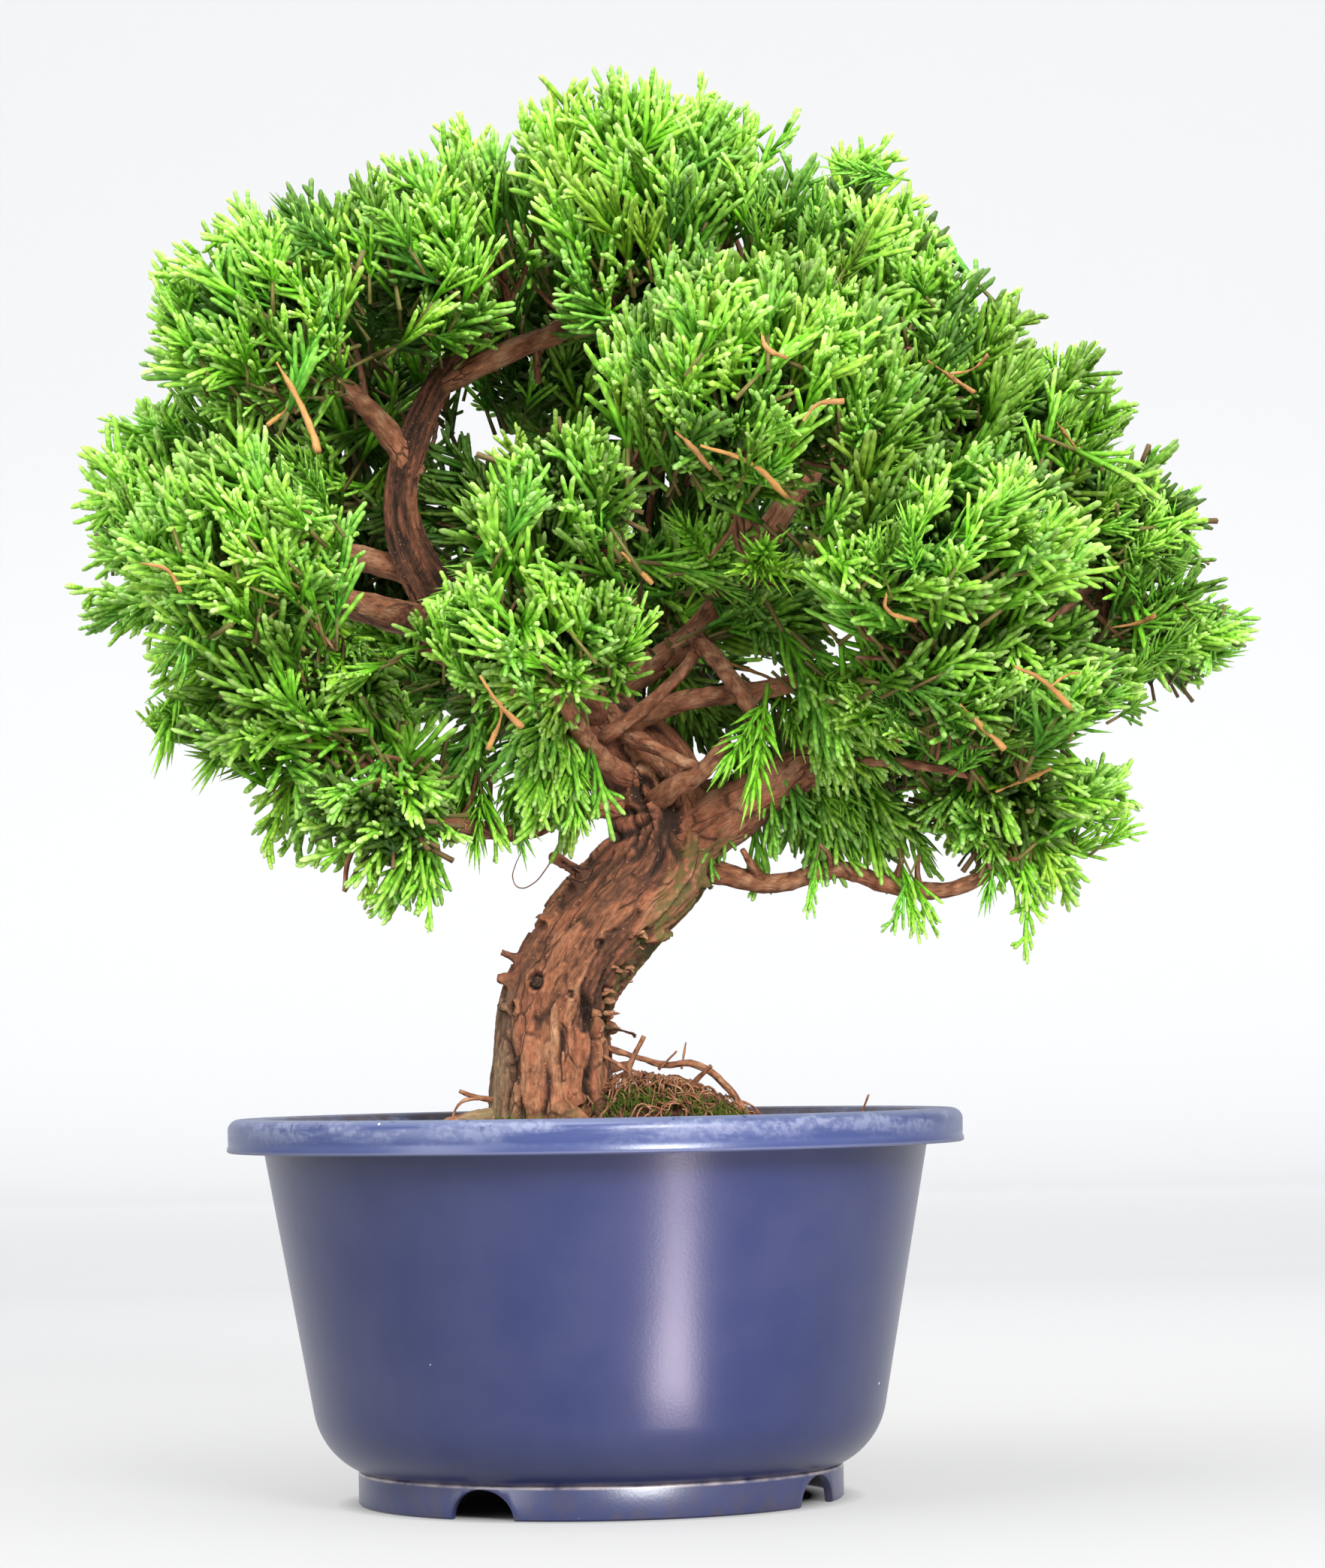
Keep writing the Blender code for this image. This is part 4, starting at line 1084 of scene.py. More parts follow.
def composeSpray(name, recipe, draw):
    total = recipe["stem"] + recipe["leader"]

    def spotAt(s):
        return Vector((recipe["curve"] * (s / total) ** 2, 0, s))

    def headingAt(s):
        return (spotAt(s + 0.5) - spotAt(s - 0.5)).normalized()

    made = [layFinger("stem", spotAt(0), headingAt(recipe["stem"] / 2), recipe["stem"] * 1.1,
                      age=(0.2, 0.2), wood=0.75)]
    leaders = max(1, round(recipe["leader"] / 11))
    usual = (recipe["finger"],) if "finger" in recipe else ("straight", "bent")
    for k in range(leaders):
        start = recipe["stem"] + recipe["leader"] * k / leaders
        last = k == leaders - 1
        share = (0.2 + 0.4 * k / leaders, 1.0 if last else 0.5)
        length = recipe["leader"] / leaders * (1.0 if last else 1.12)
        made.append(layFinger(usual[0], spotAt(start), headingAt(start + 3), length, 1.08,
                              draw.uniform(0, 6), share))
    count = recipe["shoots"]
    for k in range(count):
        share = k / max(1, count - 1)
        s = recipe["stem"] * 0.8 + (recipe["leader"] * 0.82 + recipe["stem"] * 0.2) * share
        heading = headingAt(s)
        turn = math.pi * (k % 2) + draw.gauss(0, 0.3) + (math.pi / 2 if draw.random() > recipe["flat"] else 0)
        outward = leaning(heading, recipe["spread"] * draw.uniform(0.7, 1.2), turn)
        length = recipe["reach"] * (1 - 0.45 * share) * draw.uniform(0.7, 1.15)
        bright = 0.86 + 0.14 * share + draw.uniform(-0.1, 0.04)
        made.append(layFinger(draw.choice(usual), spotAt(s), outward, length,
                              draw.uniform(0.9, 1.08), draw.uniform(-0.5, 0.5), (0.15 + 0.3 * share, bright)))
        plane = heading.cross(outward).normalized()
        lobes = int(recipe["lobes"] + draw.random() * (recipe["lobes"] > 0))
        for lobe in range(lobes):
            part = draw.uniform(0.3, 0.55) if lobe == 0 else draw.uniform(0.55, 0.8)
            tilt = math.radians(draw.uniform(24, 40)) * (1 if (lobe + k) % 2 else -1)
            side = (Quaternion(plane, tilt) @ outward + plane * draw.gauss(0, 0.15)).normalized()
            made.append(layFinger("bud", spotAt(s) + outward * length * part, side, draw.uniform(2.6, 5.2),
                                  draw.uniform(0.85, 1.0), 0.0, (0.4, bright)))
    spray = joined(made, name)
    spray["length"] = float(corners(spray.data)[:, 2].max())
    return spray


def composeNeedleShoot(name, recipe, draw):
    length, whorls, reach = recipe["length"] * draw.uniform(0.8, 1.2), recipe["whorls"], recipe["reach"]
    made = [layFinger("stem", Vector((0, 0, 0)), Vector((0, 0, 1)), length, 0.7, age=(0.5, 0.6), wood=0.2)]
    for k in range(whorls):
        for part in range(3):
            turn = 2 * math.pi * part / 3 + k * math.pi / 3 + draw.uniform(-0.2, 0.2)
            tilt = draw.uniform(42, 58) * (1 - 0.6 * max(0, (k - whorls + 4) / 4))
            way = leaning(Vector((0, 0, 1)), tilt, turn)
            start = Vector((0, 0, length * (0.25 + 0.75 * k / (whorls - 1))))
            made.append(layFinger("needle", start, way, reach * draw.uniform(0.8, 1.15), 1.0, 0.0,
                                  (0.35, 0.6 + 0.35 * k / whorls)))
    shoot = joined(made, name)
    shoot["length"] = float(corners(shoot.data)[:, 2].max())
    return shoot


def makeSprays():
    draw = random.Random(21)
    sprays = {}
    for kind, recipe in sprayRecipes.items():
        sprays[kind] = [composeSpray(f"{kind}{k}", recipe, draw) for k in range(recipe["copies"])]
    sprays["needles"] = [composeNeedleShoot(f"needles{k}", needleRecipe, draw)
                         for k in range(needleRecipe["copies"])]
    return sprays


sprays = makeSprays()
print("sprays modelled")


cloudHabits = {  # what differs from the usual growth on each cloud
    "foliage_apex": {}, "foliage_crown_left": {"sink": 2}, "foliage_crown_right": {"sink": 6.5},
    "foliage_crown_back": {}, "foliage_upper_left": {"sink": 2}, "foliage_upper_left_back": {},
    "foliage_upper_right": {"sink": 8}, "foliage_upper_right_back": {"sink": 8},
    "foliage_front_right": {}, "foliage_front": {}, "foliage_front_low": {},
    "foliage_left": {}, "foliage_left_front": {}, "foliage_middle_right": {"needles": 0.15},
    "foliage_right_far": {"droop": 0.1, "sink": 8.5}, "foliage_right_tip": {"droop": 0.25},
    "foliage_right_back": {"sink": 8}, "foliage_back": {}, "foliage_back_left": {},
    "foliage_left_low": {"droop": 0.25, "needles": 0.2, "sink": 9},
    "foliage_left_drooping": {"droop": 0.8, "trailing": 0.5, "gap": 7.5},
    "foliage_right_middle": {"droop": 0.15, "needles": 0.25, "sink": 3},
    "foliage_right_low": {"droop": 0.45, "trailing": 0.3},
    "foliage_right_low_back": {"droop": 0.3, "sink": 6},
}
foliageSizes = {"gap": 6.2, "tuft": 15.0, "hidden": 0.22, "under": 0.6, "inward": 0.35,
                "crown": (10, 0, 195), "needles": 0.05, "inner": 30, "twigs": 8, "seed": 5,
                "reach": 34, "innerReach": 23, "footing": 24,  # from a tip back to its foot
                "smallest": 0.6, "unheld": 0.96, "inHollow": 0.93}  # the last two are shares left out
valleySizes = {"ways": 1500, "look": 15.0, "least": 7.8, "footing": 22,
               "hollow": ((-54, -1), (-44, 60), (205, 245))}
fillers = [  # (middle, half, how many, kinds, depth as painted shade, lift): more growth where the clouds leave holes
    ((-10, -31, 151), (14, 7, 15), 24, ("fan", "plume", "fork", "tuft"), 0.95, -0.5),
    ((-30, -24, 138), (14, 10, 10), 12, ("needles", "trailing", "plume"), 0.9, -0.8),
    ((-64, -24, 141), (13, 12, 11), 16, ("trailing", "plume", "fork"), 0.9, -1.0),
    ((-7, -26, 139), (15, 8, 7), 14, ("plume", "needles", "fork"), 0.9, -1.0),
    ((50, -4, 136), (26, 8, 7), 16, ("plume", "needles", "fan"), 0.85, -0.9),
    ((93, -6, 129), (14, 10, 11), 14, ("trailing", "fork", "plume"), 0.9, -1.1),
    ((99, -8, 124), (13, 9, 9), 10, ("trailing", "fork", "plume"), 0.95, -1.1),
    ((54, -2, 129), (28, 8, 6), 14, ("plume", "needles", "fork"), 0.9, -1.0),
    ((-38, -30, 124), (9, 8, 7), 10, ("trailing", "plume", "fork"), 0.95, -1.2),
    ((-25, -4, 287), (10, 8, 8), 18, ("plume", "fan", "fork"), 1.0, 1.0),
    ((60, -4, 283), (9, 8, 5), 11, ("plume", "fork"), 1.0, 0.6),
    ((24, 16, 160), (16, 8, 11), 18, ("inner", "plume"), 0.5, -0.2),
    ((50, 8, 139), (27, 12, 9), 30, ("needles", "plume", "fan", "inner"), 0.75, -0.4),
    ((46, -4, 184), (13, 10, 9), 14, ("fan", "inner", "tuft"), 0.7, 0.1),
    ((-28, 26, 214), (24, 12, 22), 46, ("inner", "inner", "plume"), 0.25, 0.1),
    ((-26, 10, 163), (11, 9, 10), 14, ("inner", "plume", "tuft"), 0.5, 0.0),
    ((54, 16, 192), (14, 10, 12), 16, ("inner", "plume", "fan"), 0.5, 0.1),
    ((-101, -10, 187), (9, 12, 8), 10, ("plume", "trailing", "fan"), 0.95, -0.2),
    ((15, 52, 168), (62, 20, 20), 44, ("inner", "inner", "trailing"), 0.4, -0.2),
    ((62, -34, 160), (24, 10, 12), 18, ("needles", "plume", "fan"), 0.9, -0.1),
    ((55, -18, 151), (16, 6, 7), 15, ("needles", "plume", "fan"), 0.9, -0.6),
    ((34, -14, 198), (9, 6, 13), 13, ("needles", "tuft", "plume"), 0.8, 0.2),
    ((68, 0, 134), (13, 8, 6), 12, ("needles", "plume", "inner"), 0.8, -0.6),
]
dryTwigs = [  # (x, z, x, z, radius) seen from the front
    (-62, 236, -53, 216, 0.75), (-60, 229, -64, 223, 0.4), (19, 215, 26, 208, 0.55), (24, 212, 41, 203, 0.6),
    (44, 216, 52, 220, 0.55), (71, 236, 81, 228, 0.6), (76, 232, 84, 236, 0.4), (110, 181, 119, 183, 0.6),
    (60, 183, 66, 178, 0.5), (75, 162, 84, 153, 0.6), (86, 169, 98, 161, 0.55), (93, 165, 99, 168, 0.35),
    (-20, 168, -12, 158, 0.6), (-16, 163, -19, 154, 0.4), (8, 193, 14, 187, 0.5), (98, 222, 104, 216, 0.45),
    (-88, 193, -80, 187, 0.5), (36, 233, 41, 228, 0.4), (30, 176, 40, 172, 0.5), (84, 146, 96, 151, 0.55),
]
hangers = [  # single sprays that hang clear: (kind, tip, heading, size)
    ("trailing", (-36, -34, 119), (-0.15, -0.1, -1), 0.75), ("fork", (-41, -36, 122), (-0.35, -0.1, -1), 0.9),
    ("plume", (-31, -32, 123), (0.1, -0.1, -1), 0.8), ("trailing", (-52, -34, 130), (-0.8, -0.1, -0.8), 0.9),
    ("fork", (-20, -30, 133), (0.15, -0.3, -1), 0.7), ("needles", (-12, -26, 132), (0.3, -0.3, -1), 1.0),
    ("plume", (-6, -24, 137), (0.4, -0.4, -1), 0.7), ("needles", (-24, -28, 131), (-0.1, -0.3, -1), 1.1),
    ("needles", (-89, -26, 152), (-0.25, -0.1, -1), 1.4),
    ("needles", (-82, -28, 149), (-0.6, -0.1, -0.8), 1.3),
    ("plume", (-106, -10, 186), (-1, -0.1, -0.35), 0.9),
    ("trailing", (-94, -20, 178), (-0.9, -0.2, -0.6), 0.8),
    ("needles", (33, -32, 139), (-0.15, -0.2, -1), 1.3), ("needles", (25, -32, 147), (-0.5, -0.3, -0.8), 1.1),
    ("trailing", (90, -14, 111), (-0.1, -0.1, -1), 0.75), ("fork", (95, -14, 119), (0.35, -0.1, -1), 0.7),
    ("plume", (67, -10, 115), (0.1, -0.1, -1), 0.65), ("fork", (61, -10, 118), (-0.5, -0.1, -1), 0.6),
    ("fork", (74, -10, 117), (0.5, -0.1, -1), 0.6), ("needles", (82, -14, 120), (-0.2, -0.2, -1), 0.9),
    ("plume", (45, -12, 121), (-0.2, -0.1, -1), 0.5), ("trailing", (113, -2, 140), (0.6, -0.1, -0.8), 0.8),
    ("needles", (18, -44, 204), (-0.3, -1, 0.3), 1.2), ("needles", (38, -60, 196), (0.1, -1, 0.1), 1.2),
    ("needles", (30, -56, 190), (-0.4, -1, -0.2), 1.1), ("needles", (46, -58, 190), (0.5, -0.9, -0.1), 1.1),
    ("needles", (-26, -22, 212), (-0.8, -0.5, 0.6), 1.2),
    ("needles", (-22, -20, 202), (-0.9, -0.4, 0.1), 1.2),
    ("needles", (-30, -18, 194), (-0.9, -0.4, -0.2), 1.2),
    ("needles", (-34, -24, 186), (-0.7, -0.6, -0.4), 1.2),
    ("plume", (14, -8, 302), (0.05, -0.1, 1), 0.9), ("trailing", (25, -4, 303), (0.2, -0.1, 1), 0.9),
    ("plume", (-14, 0, 297), (-0.15, 0, 1), 0.9), ("plume", (-24, -6, 295), (-0.3, -0.1, 1), 0.85),
    ("fork", (68, -6, 286), (0.85, -0.1, 0.5), 0.9), ("plume", (73, -4, 277), (0.95, -0.1, 0.35), 0.9),
    ("plume", (-73, -6, 278), (-0.35, -0.1, 0.9), 0.85), ("fork", (111, -4, 241), (0.8, -0.1, 0.55), 0.9),
    ("plume", (132, -6, 209), (0.85, -0.1, 0.45), 0.85), ("plume", (142, -6, 180), (1, -0.1, 0.05), 0.9),
    ("trailing", (-110, -6, 196), (-1, -0.1, 0.1), 0.9), ("fork", (-41, -4, 286), (-0.3, 0, 1), 0.8),
    ("fork", (3, -6, 298), (0, -0.1, 1), 0.8), ("trailing", (44, 0, 296), (0.4, 0, 0.9), 0.8),
    ("plume", (-104, 0, 231), (-0.9, 0, 0.4), 0.8), ("fork", (118, -3, 219), (0.8, -0.1, 0.5), 0.8),
    ("plume", (-92, -4, 255), (-0.7, 0, 0.7), 0.8), ("trailing", (93, -4, 254), (0.7, 0, 0.6), 0.8),
]


def cloudSurface(name):  # the cloud's triangles in millimetres from the pot's axis
    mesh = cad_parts[name].data
    mesh.calc_loop_triangles()
    spots = (corners(mesh) - np.array(potAxis)) / mm
    faces = np.array([t.vertices[:] for t in mesh.loop_triangles])
    return spots, faces


def scatter(spots, faces, gap, draw):  # random places on the triangles, no two nearer than the gap
    a, b, c = spots[faces[:, 0]], spots[faces[:, 1]], spots[faces[:, 2]]
    cross = np.cross(b - a, c - a)
    area = np.linalg.norm(cross, axis=1) / 2
    tries = int(area.sum() / gap**2 * 5)
    chosen = draw.choice(len(faces), size=tries, p=area / area.sum())
    u, v = draw.random(tries), draw.random(tries)
    flip = u + v > 1
    u[flip], v[flip] = 1 - u[flip], 1 - v[flip]
    places = a[chosen] + (b - a)[chosen] * u[:, None] + (c - a)[chosen] * v[:, None]
    normals = cross[chosen] / (2 * area[chosen])[:, None]
    kept = []
    for k in range(tries):
        if not kept or (((places[kept] - places[k]) ** 2).sum(1) > gap * gap).all():
            kept.append(k)
    return places[kept], normals[kept]


def unit(vector):
    return vector / np.linalg.norm(vector)


clouds = {name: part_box(name) for name in cloudHabits}
cloudMiddles = {n: (np.array((lo + hi) / 2) - np.array(potAxis)) / mm for n, (lo, hi) in clouds.items()}
cloudHalves = {n: np.array(hi - lo) / 2 / mm for n, (lo, hi) in clouds.items()}
limbPaths = np.concatenate([smoothRoute(route, 6)[6:, :3] for route in limbRoutes.values()]
                           + [smoothRoute(trunkRoute)[60:, :3]])


def insideOther(spot, own):
    for name, middle in cloudMiddles.items():
        if name != own and (((spot - middle) / cloudHalves[name]) ** 2).sum() < 0.9:
            return True
    return False


def rooted(spot):  # inside the crown, so that no stem shows in the open
    return any((((spot - middle) / cloudHalves[name]) ** 2).sum() < 0.95
               for name, middle in cloudMiddles.items())


def fitting(tip, heading, size, length=foliageSizes["reach"]):  # smaller where its foot would come out
    reach = unit(np.array(heading)) * length
    while size > foliageSizes["smallest"] and not rooted(tip - reach * size):
        size -= 0.07
    return size


def laySpray(kind, tip, heading, size, tint, depth, picks):  # a copy whose leading tip is at the given place
    heading = Vector(heading).normalized()
    source = picks.choice(sprays[kind])
    start = Vector(tip) - heading * source["length"] * size
    turn = heading.to_track_quat("Z", "X").to_matrix().to_4x4()
    turn = turn @ Matrix.Rotation(picks.uniform(0, 6.28), 4, "Z")
    made = copyOf(source, Matrix.Translation(start) @ turn @ Matrix.Scale(size, 4))
    growth = painted(made.data, "growth")
    growth[:, 1] = tint
    # depth is the spray's painted shade
    growth[:, 2] = depth
    paint(made.data, "growth", growth)
    return made, start


def inHollow(spot):  # the shaded opening left of the middle, where the trunk shows
    return all(low < value < high for value, (low, high) in zip(spot, valleySizes["hollow"]))


def growCloud(name, habit, draw, picks):
    spots, faces = cloudSurface(name)
    places, normals = scatter(spots, faces, habit.get("gap", foliageSizes["gap"]), draw)
    crown = np.array(foliageSizes["crown"])
    middle, half = cloudMiddles[name], cloudHalves[name]
    droop = habit.get("droop", 0.0)
    needles = habit.get("needles", foliageSizes["needles"])
    copies, starts = [], []
    for spot, normal in zip(places, normals):
        outward = unit(spot - crown)
        hidden = insideOther(spot + normal * 9, name)
        if hidden and picks.random() > foliageSizes["hidden"]:
            continue
        if normal[2] < -0.45 and picks.random() > foliageSizes["under"]:
            continue
        if normal @ outward < -0.25 and picks.random() > foliageSizes["inward"]:
            continue
        level = np.array((outward[0], outward[1], 0))
        heading = 0.5 * normal + 0.3 * unit(spot - middle) + 0.5 * outward + 0.25 * level
        heading = unit(heading + np.array((0, 0, 0.8 * (1 - droop) - 0.8 * droop)))
        heading = heading + np.array([picks.gauss(0, 0.34) for _ in range(3)])
        for _ in range(5):
            if not rooted(spot - unit(heading) * foliageSizes["footing"]):
                heading = unit(heading) + 0.5 * unit(spot - middle)
        held = rooted(spot - unit(heading) * foliageSizes["footing"])
        if not held and picks.random() < foliageSizes["unheld"]:
            continue
        if inHollow(spot) and picks.random() < foliageSizes["inHollow"]:
            continue
        roll = picks.random()
        if roll < needles:
            kind = "needles"
        elif roll < needles + habit.get("trailing", 0.0):
            kind = "trailing"
        else:
            kind = picks.choice(("fan", "fan", "tuft", "plume", "fork"))
        tuft = noise.noise(Vector(spot) / foliageSizes["tuft"])
        sink = habit.get("sink", 0) + 4.0 * tuft + picks.uniform(-0.5, 6)
        beside = 7.5 * (1 - max(0, unit(heading) @ normal))  # a fan along the surface keeps inside it
        within = picks.uniform(2, 8) if hidden else max(sink, -1.5)
        tip = spot - unit(heading) * within - normal * beside
        tint = picks.uniform(0, 0.3) if kind == "needles" else picks.uniform(0.05, 0.95)
        # painted shade: hidden sprays and sunken tufts are painted darker
        depth = 0.4 if hidden else picks.uniform(0.8, 1.0) - 0.35 * max(0, tuft)
        size = fitting(tip, heading, picks.uniform(0.85, 1.12))
        made, start = laySpray(kind, tip, heading, size, tint, depth, picks)
        copies.append(made)
        starts.append(start)
    for _ in range(foliageSizes["inner"]):  # older growth inside
        way = unit(np.array([picks.gauss(0, 1) for _ in range(3)]))
        spot = middle + way * half * picks.uniform(0.35, 0.82)
        heading = way + 0.5 * unit(spot - crown)
        size = fitting(spot, heading, picks.uniform(0.85, 1.15), foliageSizes["innerReach"])
        if size > foliageSizes["smallest"]:
            # painted shade: the older growth inside the cloud is painted dark
            tint, depth = picks.uniform(0, 0.7), picks.uniform(0.1, 0.35)
            copies.append(laySpray("inner", spot, heading, size, tint, depth, picks)[0])
    return joined(copies, name.replace("foliage_", "sprays_")), starts


def reachOfClouds(ways):  # how far the clouds reach from the crown's middle, each way
    crown = np.array(foliageSizes["crown"])
    reach = np.zeros(len(ways))
    for name, middle in cloudMiddles.items():
        away = (crown - middle) / cloudHalves[name]
        scaled = ways / cloudHalves[name]
        a, b, c = (scaled**2).sum(1), 2 * scaled @ away, away @ away - 1
        under = b * b - 4 * a * c
        reach = np.maximum(reach, np.where(under > 0, (np.sqrt(np.maximum(under, 0)) - b) / (2 * a), 0))
    return reach


def growValleys(picks):  # sprays that bridge the dips between neighbouring clouds
    count = valleySizes["ways"]
    crown = np.array(foliageSizes["crown"])
    level = 1 - (2 * np.arange(count) + 1) / count
    turn = np.arange(count) * math.pi * (3 - math.sqrt(5))
    flat = np.sqrt(1 - level**2)
    ways = np.stack([flat * np.cos(turn), flat * np.sin(turn), level], axis=1)
    reach = reachOfClouds(ways)
    near = ways @ ways.T > math.cos(math.radians(valleySizes["look"]))
    copies = []
    for k, way in enumerate(ways):
        dip = min(reach[near[k]].max() - reach[k], 40)
        if dip < valleySizes["least"] or reach[k] < 25 or way[2] < -0.4:
            continue
        tip = crown + way * (reach[k] + picks.uniform(0.0, 0.2) * dip - 3)
        heading = unit(way + np.array([picks.gauss(0, 0.3) for _ in range(3)]) + np.array((0, 0, 0.5)))
        if inHollow(tip) or not rooted(tip - heading * valleySizes["footing"]):
            continue
        kind = picks.choice(("fan", "plume", "tuft", "fan", "needles"))
        size = fitting(tip, heading, picks.uniform(0.9, 1.15))
        # painted shade: valley sprays in the dips between clouds are painted darker
        copies.append(laySpray(kind, tip, heading, size, picks.random(), picks.uniform(0.35, 0.7), picks)[0])
    return copies


def growFillers(picks):
    copies = []
    crown = np.array(foliageSizes["crown"])
    for middle, half, count, kinds, depth, lift in fillers:
        for _ in range(count):
            way = unit(np.array([picks.gauss(0, 1) for _ in range(3)]))
            tip = np.array(middle) + way * np.array(half) * picks.uniform(0.3, 1.0)
            heading = unit(0.5 * way + unit(tip - crown) + np.array((0, 0, lift)))
            # painted shade from the filler's depth
            shade = depth * picks.uniform(0.8, 1.0)
            kind, size, tint = picks.choice(kinds), picks.uniform(0.75, 1.05), picks.random()
            copies.append(laySpray(kind, tip, heading, size, tint, shade, picks)[0])
    return copies


def frontAt(x, z):  # how far forward the clouds come there
    found = 0.0
    for name, middle in cloudMiddles.items():
        half = cloudHalves[name]
        share = ((x - middle[0]) / half[0]) ** 2 + ((z - middle[2]) / half[2]) ** 2
        if share < 1:
            found = min(found, middle[1] - half[1] * math.sqrt(1 - share))
    return found


def dryRoute(x, z, toX, toZ, radius, picks):
    start, end = np.array((x, frontAt(x, z) + 2, z)), np.array((toX, frontAt(toX, toZ) + 4, toZ))
    if abs(start[1] - end[1]) > 14:
        end[1] = start[1] + 4
    bend = 0.5 * (start + end) + np.array([picks.gauss(0, 1.0) for _ in range(3)])
    return [(*start, 0.4 * radius), (*bend, 0.9 * radius), (*end, 1.1 * radius)]


def twigTo(start, middle, picks):  # from the nearest limb out to a spray's foot
    hub = limbPaths[np.argmin(((limbPaths - 0.5 * (middle + np.array(start))) ** 2).sum(1))]
    reach = np.array(start) - hub
    length = np.linalg.norm(reach)
    bend = np.array([picks.gauss(0, 0.09) * length for _ in range(3)])
    half = hub + 0.5 * reach + bend + np.array((0, 0, -0.06 * length))
    return [(*hub, 0.95), (*half, 0.62), (*start, 0.42)]


def makeFoliage():
    draw = np.random.default_rng(foliageSizes["seed"])
    picks = random.Random(foliageSizes["seed"])
    twigs = []
    for name, habit in cloudHabits.items():
        cloud, starts = growCloud(name, habit, draw, picks)
        for start in picks.sample(starts, min(len(starts), foliageSizes["twigs"])):
            twigs.append(twigTo(start, cloudMiddles[name], picks))
        place(cloud, leafMaterial, [name])
    loose = []
    for kind, tip, heading, size in hangers:
        made, start = laySpray(kind, tip, heading, size, picks.uniform(0.1, 0.9), 0.95, picks)
        loose.append(made)
        twigs.append(twigTo(start, np.array(start), picks))
    place(joined(loose, "hangingSprays"), leafMaterial, [])
    for title, copies in (("valleySprays", growValleys(picks)), ("fillingSprays", growFillers(picks))):
        half = len(copies) // 2
        place(joined(copies[:half], title), leafMaterial, [])
        place(joined(copies[half:], title + "More"), leafMaterial, [])
    wood = [roughTube("twig", route, 0, 4, 0.0) for route in twigs]
    wood += [roughTube("dryTwig", dryRoute(*spots, picks), 1, 6, 0.34, picks.uniform(0.5, 0.95))
             for spots in dryTwigs]
    place(joined(wood, "fineTwigs"), barkMaterial, [])


makeFoliage()
for made in [*fingers.values(), *[s for group in sprays.values() for s in group]]:
    bpy.data.objects.remove(made)
print("foliage made")


studio = {
    "side": 14.0, "front": 14.0, "back": 2.2, "bend": 0.6, "wall": 3.6,
    # glow is painted light from the near floor, filling its shadows; footShade is where it fades out, a
    # painted contact shadow round the pot's foot
    "nearTone": 0.12, "midTone": 0.48, "farTone": 0.68, "wallTone": 0.69, "glow": 0.54,
    "midway": (150.0, 1100.0), "faraway": (950.0, 2000.0),  # where each tone comes in, towards the back
    "wallRise": (0.0, 100.0), "footShade": (44.0, 56.0),
    "sky": (0.96, 0.97, 1.0), "skyPower": 1.3,
    "lights": {  # place from the plant's middle, size, power
        "keyLight": ((0.5, -1.2, 0.6), (0.5, 0.5), 33.0),
        "topLight": ((-0.15, -0.2, 1.1), (0.8, 0.8), 17.0),
        "leftLight": ((-1.0, -0.9, 0.4), (0.6, 0.9), 9.0),
    },
    "lowCard": {"near": 40, "far": 210, "turn": 30.4, "from": (17, -63), "width": 26, "power": 0.24,
                "colour": (1.0, 0.84, 0.90)},
}


def makeFloor():  # a level floor that curves up behind
    reach, back, bend = studio["side"], studio["back"], studio["bend"]
    outline = [(-studio["front"], 0.0), (-0.6, 0.0), (back * 0.4, 0.0), (back, 0.0)]
    outline += [(back + bend * math.sin(t), bend - bend * math.cos(t))
                for t in np.linspace(0.1, math.pi / 2, 14)]
    outline.append((back + bend, studio["wall"]))
    points = [(side, y, z) for y, z in outline for side in (-reach, reach)]
    faces = [(2 * k, 2 * k + 1, 2 * k + 3, 2 * k + 2) for k in range(len(outline) - 1)]
    mesh = bpy.data.meshes.new("paleFloor")
    mesh.from_pydata(points, [], faces)
    floor = bpy.data.objects.new("paleFloor", mesh)
    bpy.context.scene.collection.objects.link(floor)
    pick(floor)
    bpy.ops.object.shade_smooth()
    paper, tree, shader, spot = newMaterial("pale paper", 0.85, 0.15)
    parts = add(tree, "ShaderNodeSeparateXYZ", {"Vector": spot})
    away, height = parts.outputs["Y"], parts.outputs["Z"]
    share = levelMask(tree, away, *studio["midway"])
    paperTone = blendColours(tree, share, (studio["nearTone"],) * 3, (studio["midTone"],) * 3)
    further = levelMask(tree, away, *studio["faraway"])
    paperTone = blendColours(tree, further, paperTone, (studio["farTone"],) * 3)
    upright = levelMask(tree, height, *studio["wallRise"])
    paperTone = blendColours(tree, upright, paperTone, (studio["wallTone"],) * 3)
    tree.links.new(paperTone, shader.inputs["Base Color"])
    # painted light: the floor near the plant glows white to fill its shadows, and the glow fades out round
    # the pot's foot as a painted contact shadow
    shader.inputs["Emission Color"].default_value = (1, 1, 1, 1)
    fromPot = add(tree, "ShaderNodeVectorMath", {0: spot}, operation="LENGTH").outputs["Value"]
    glow = times(tree, sums(tree, "SUBTRACT", 1.0, share, True), studio["glow"])
    glow = times(tree, glow, levelMask(tree, fromPot, *studio["footShade"]))
    tree.links.new(glow, shader.inputs["Emission Strength"])
    mesh.materials.append(paper)


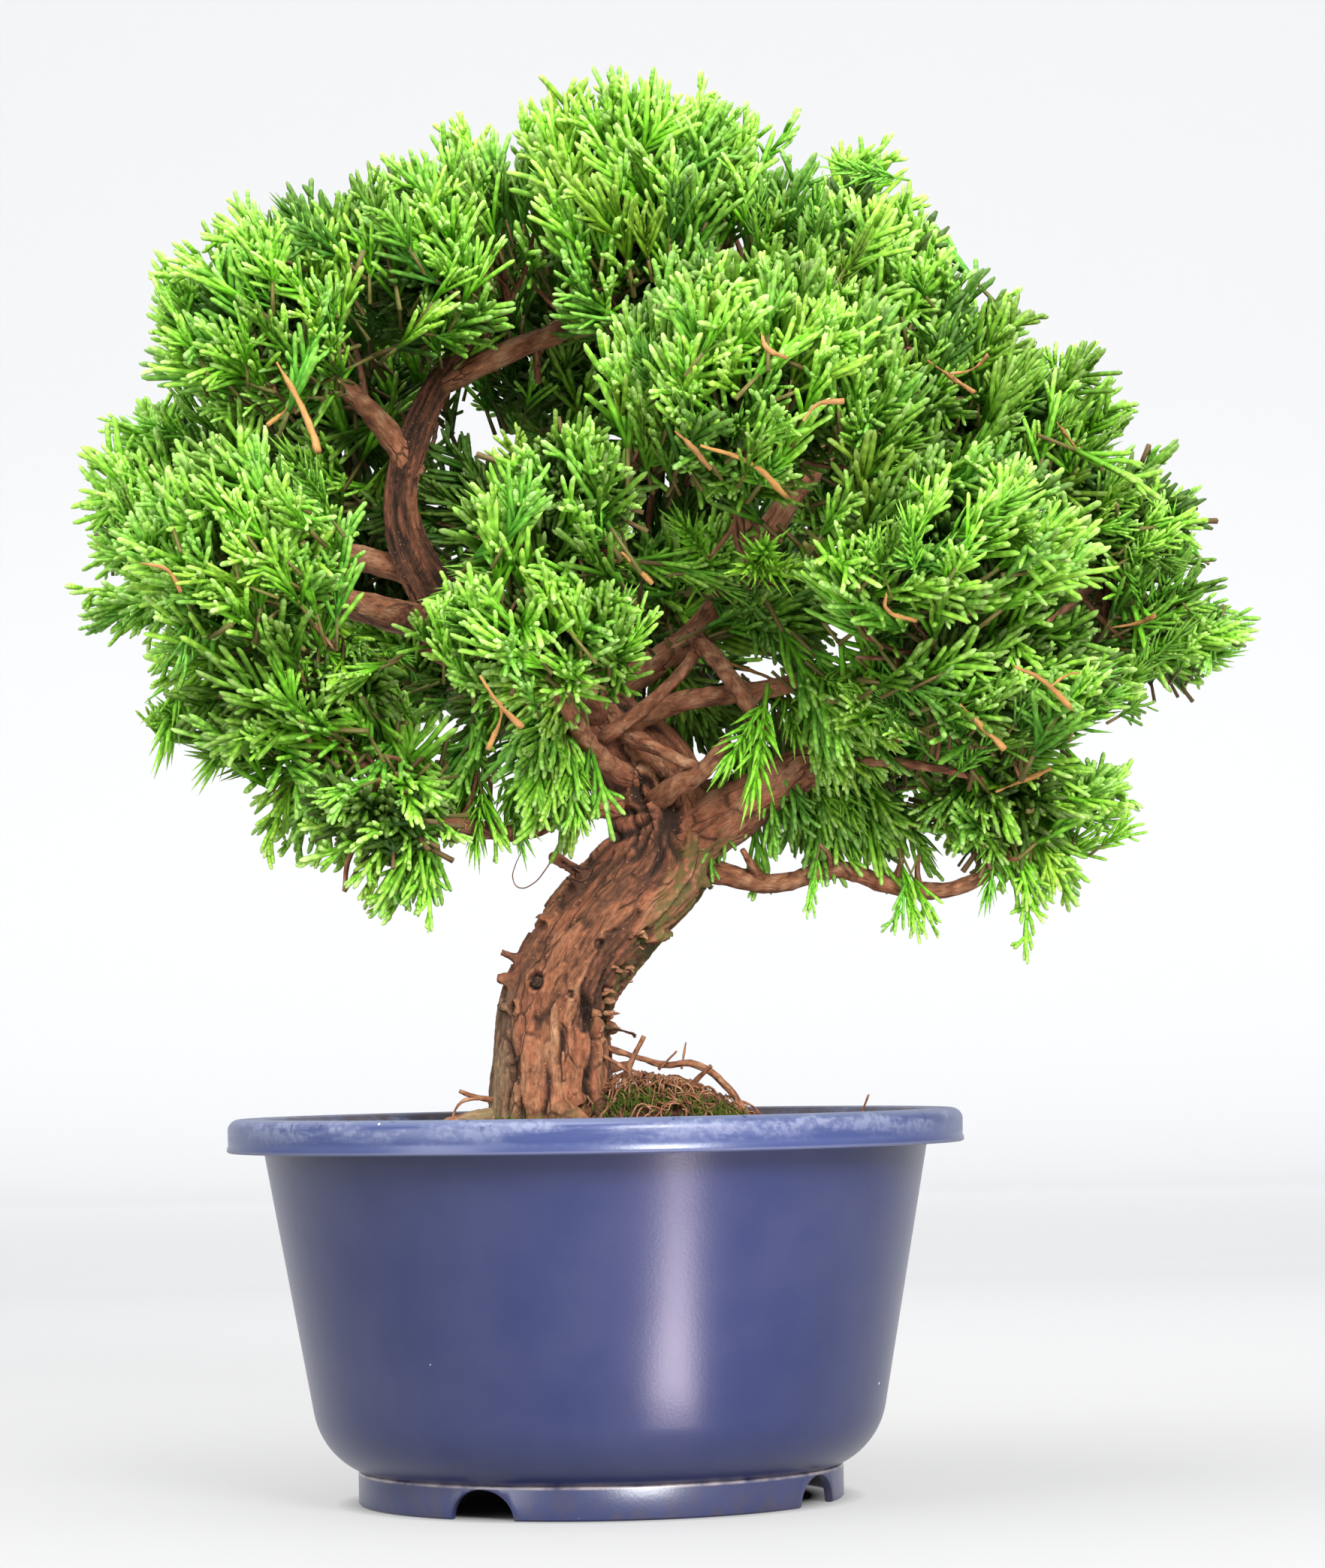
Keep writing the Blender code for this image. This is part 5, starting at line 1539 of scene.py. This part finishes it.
def addLight(name, spot, target, size, power):
    light = bpy.data.lights.new(name, "AREA")
    light.shape = "RECTANGLE"
    light.size, light.size_y = size
    light.energy = power
    lamp = bpy.data.objects.new(name, light)
    lamp.location = spot
    lamp.rotation_euler = (target - spot).to_track_quat("-Z", "Y").to_euler()
    bpy.context.scene.collection.objects.link(lamp)
    lamp.visible_camera = False
    return lamp


def makeStudio():
    makeFloor()
    middle = potAxis + Vector((0, 0, 0.15))
    for name, (spot, size, power) in studio["lights"].items():
        addLight(name, middle + Vector(spot), middle, size, power)
    card = studio["lowCard"]  # a narrow bright strip lying in front, which the pot mirrors
    turn = math.radians(card["turn"])
    way = Vector((math.sin(turn), -math.cos(turn), 0))
    spot = potAxis + (Vector((*card["from"], 1.5)) + way * (card["near"] + card["far"]) / 2) * mm
    strip = addLight("lowCard", spot, spot + Vector((0, 0, 1)),
                     (card["width"] * mm, (card["far"] - card["near"]) * mm),
                     card["power"])
    strip.rotation_euler = (math.pi, 0, math.pi + turn)
    strip.data.color = card["colour"]
    world = bpy.data.worlds.new("studio")
    world.use_nodes = True
    background = world.node_tree.nodes["Background"]
    background.inputs["Color"].default_value = (*studio["sky"], 1)
    background.inputs["Strength"].default_value = studio["skyPower"]
    bpy.context.scene.world = world
    bpy.context.scene.view_settings.view_transform = "Standard"


cameraPlace = {"from": (15.4, -1050, 95), "to": (15.4, 0, 150.4), "lens": 113.8, "roll": 0.99}


def makeCamera():
    camera = bpy.data.objects.new("camera", bpy.data.cameras.new("camera"))
    camera.data.lens = cameraPlace["lens"]
    camera.data.sensor_width = 36
    start = potAxis + Vector(cameraPlace["from"]) * mm
    target = potAxis + Vector(cameraPlace["to"]) * mm
    camera.location = start
    camera.rotation_mode = "QUATERNION"
    look = (target - start).to_track_quat("-Z", "Y")
    camera.rotation_quaternion = look @ Quaternion((0, 0, 1), -math.radians(cameraPlace["roll"]))
    camera.data.clip_start = 0.01
    camera.data.clip_end = 50
    bpy.context.scene.collection.objects.link(camera)
    bpy.context.scene.camera = camera


makeStudio()
makeCamera()
print("studio made")

bpy.context.view_layer.update()
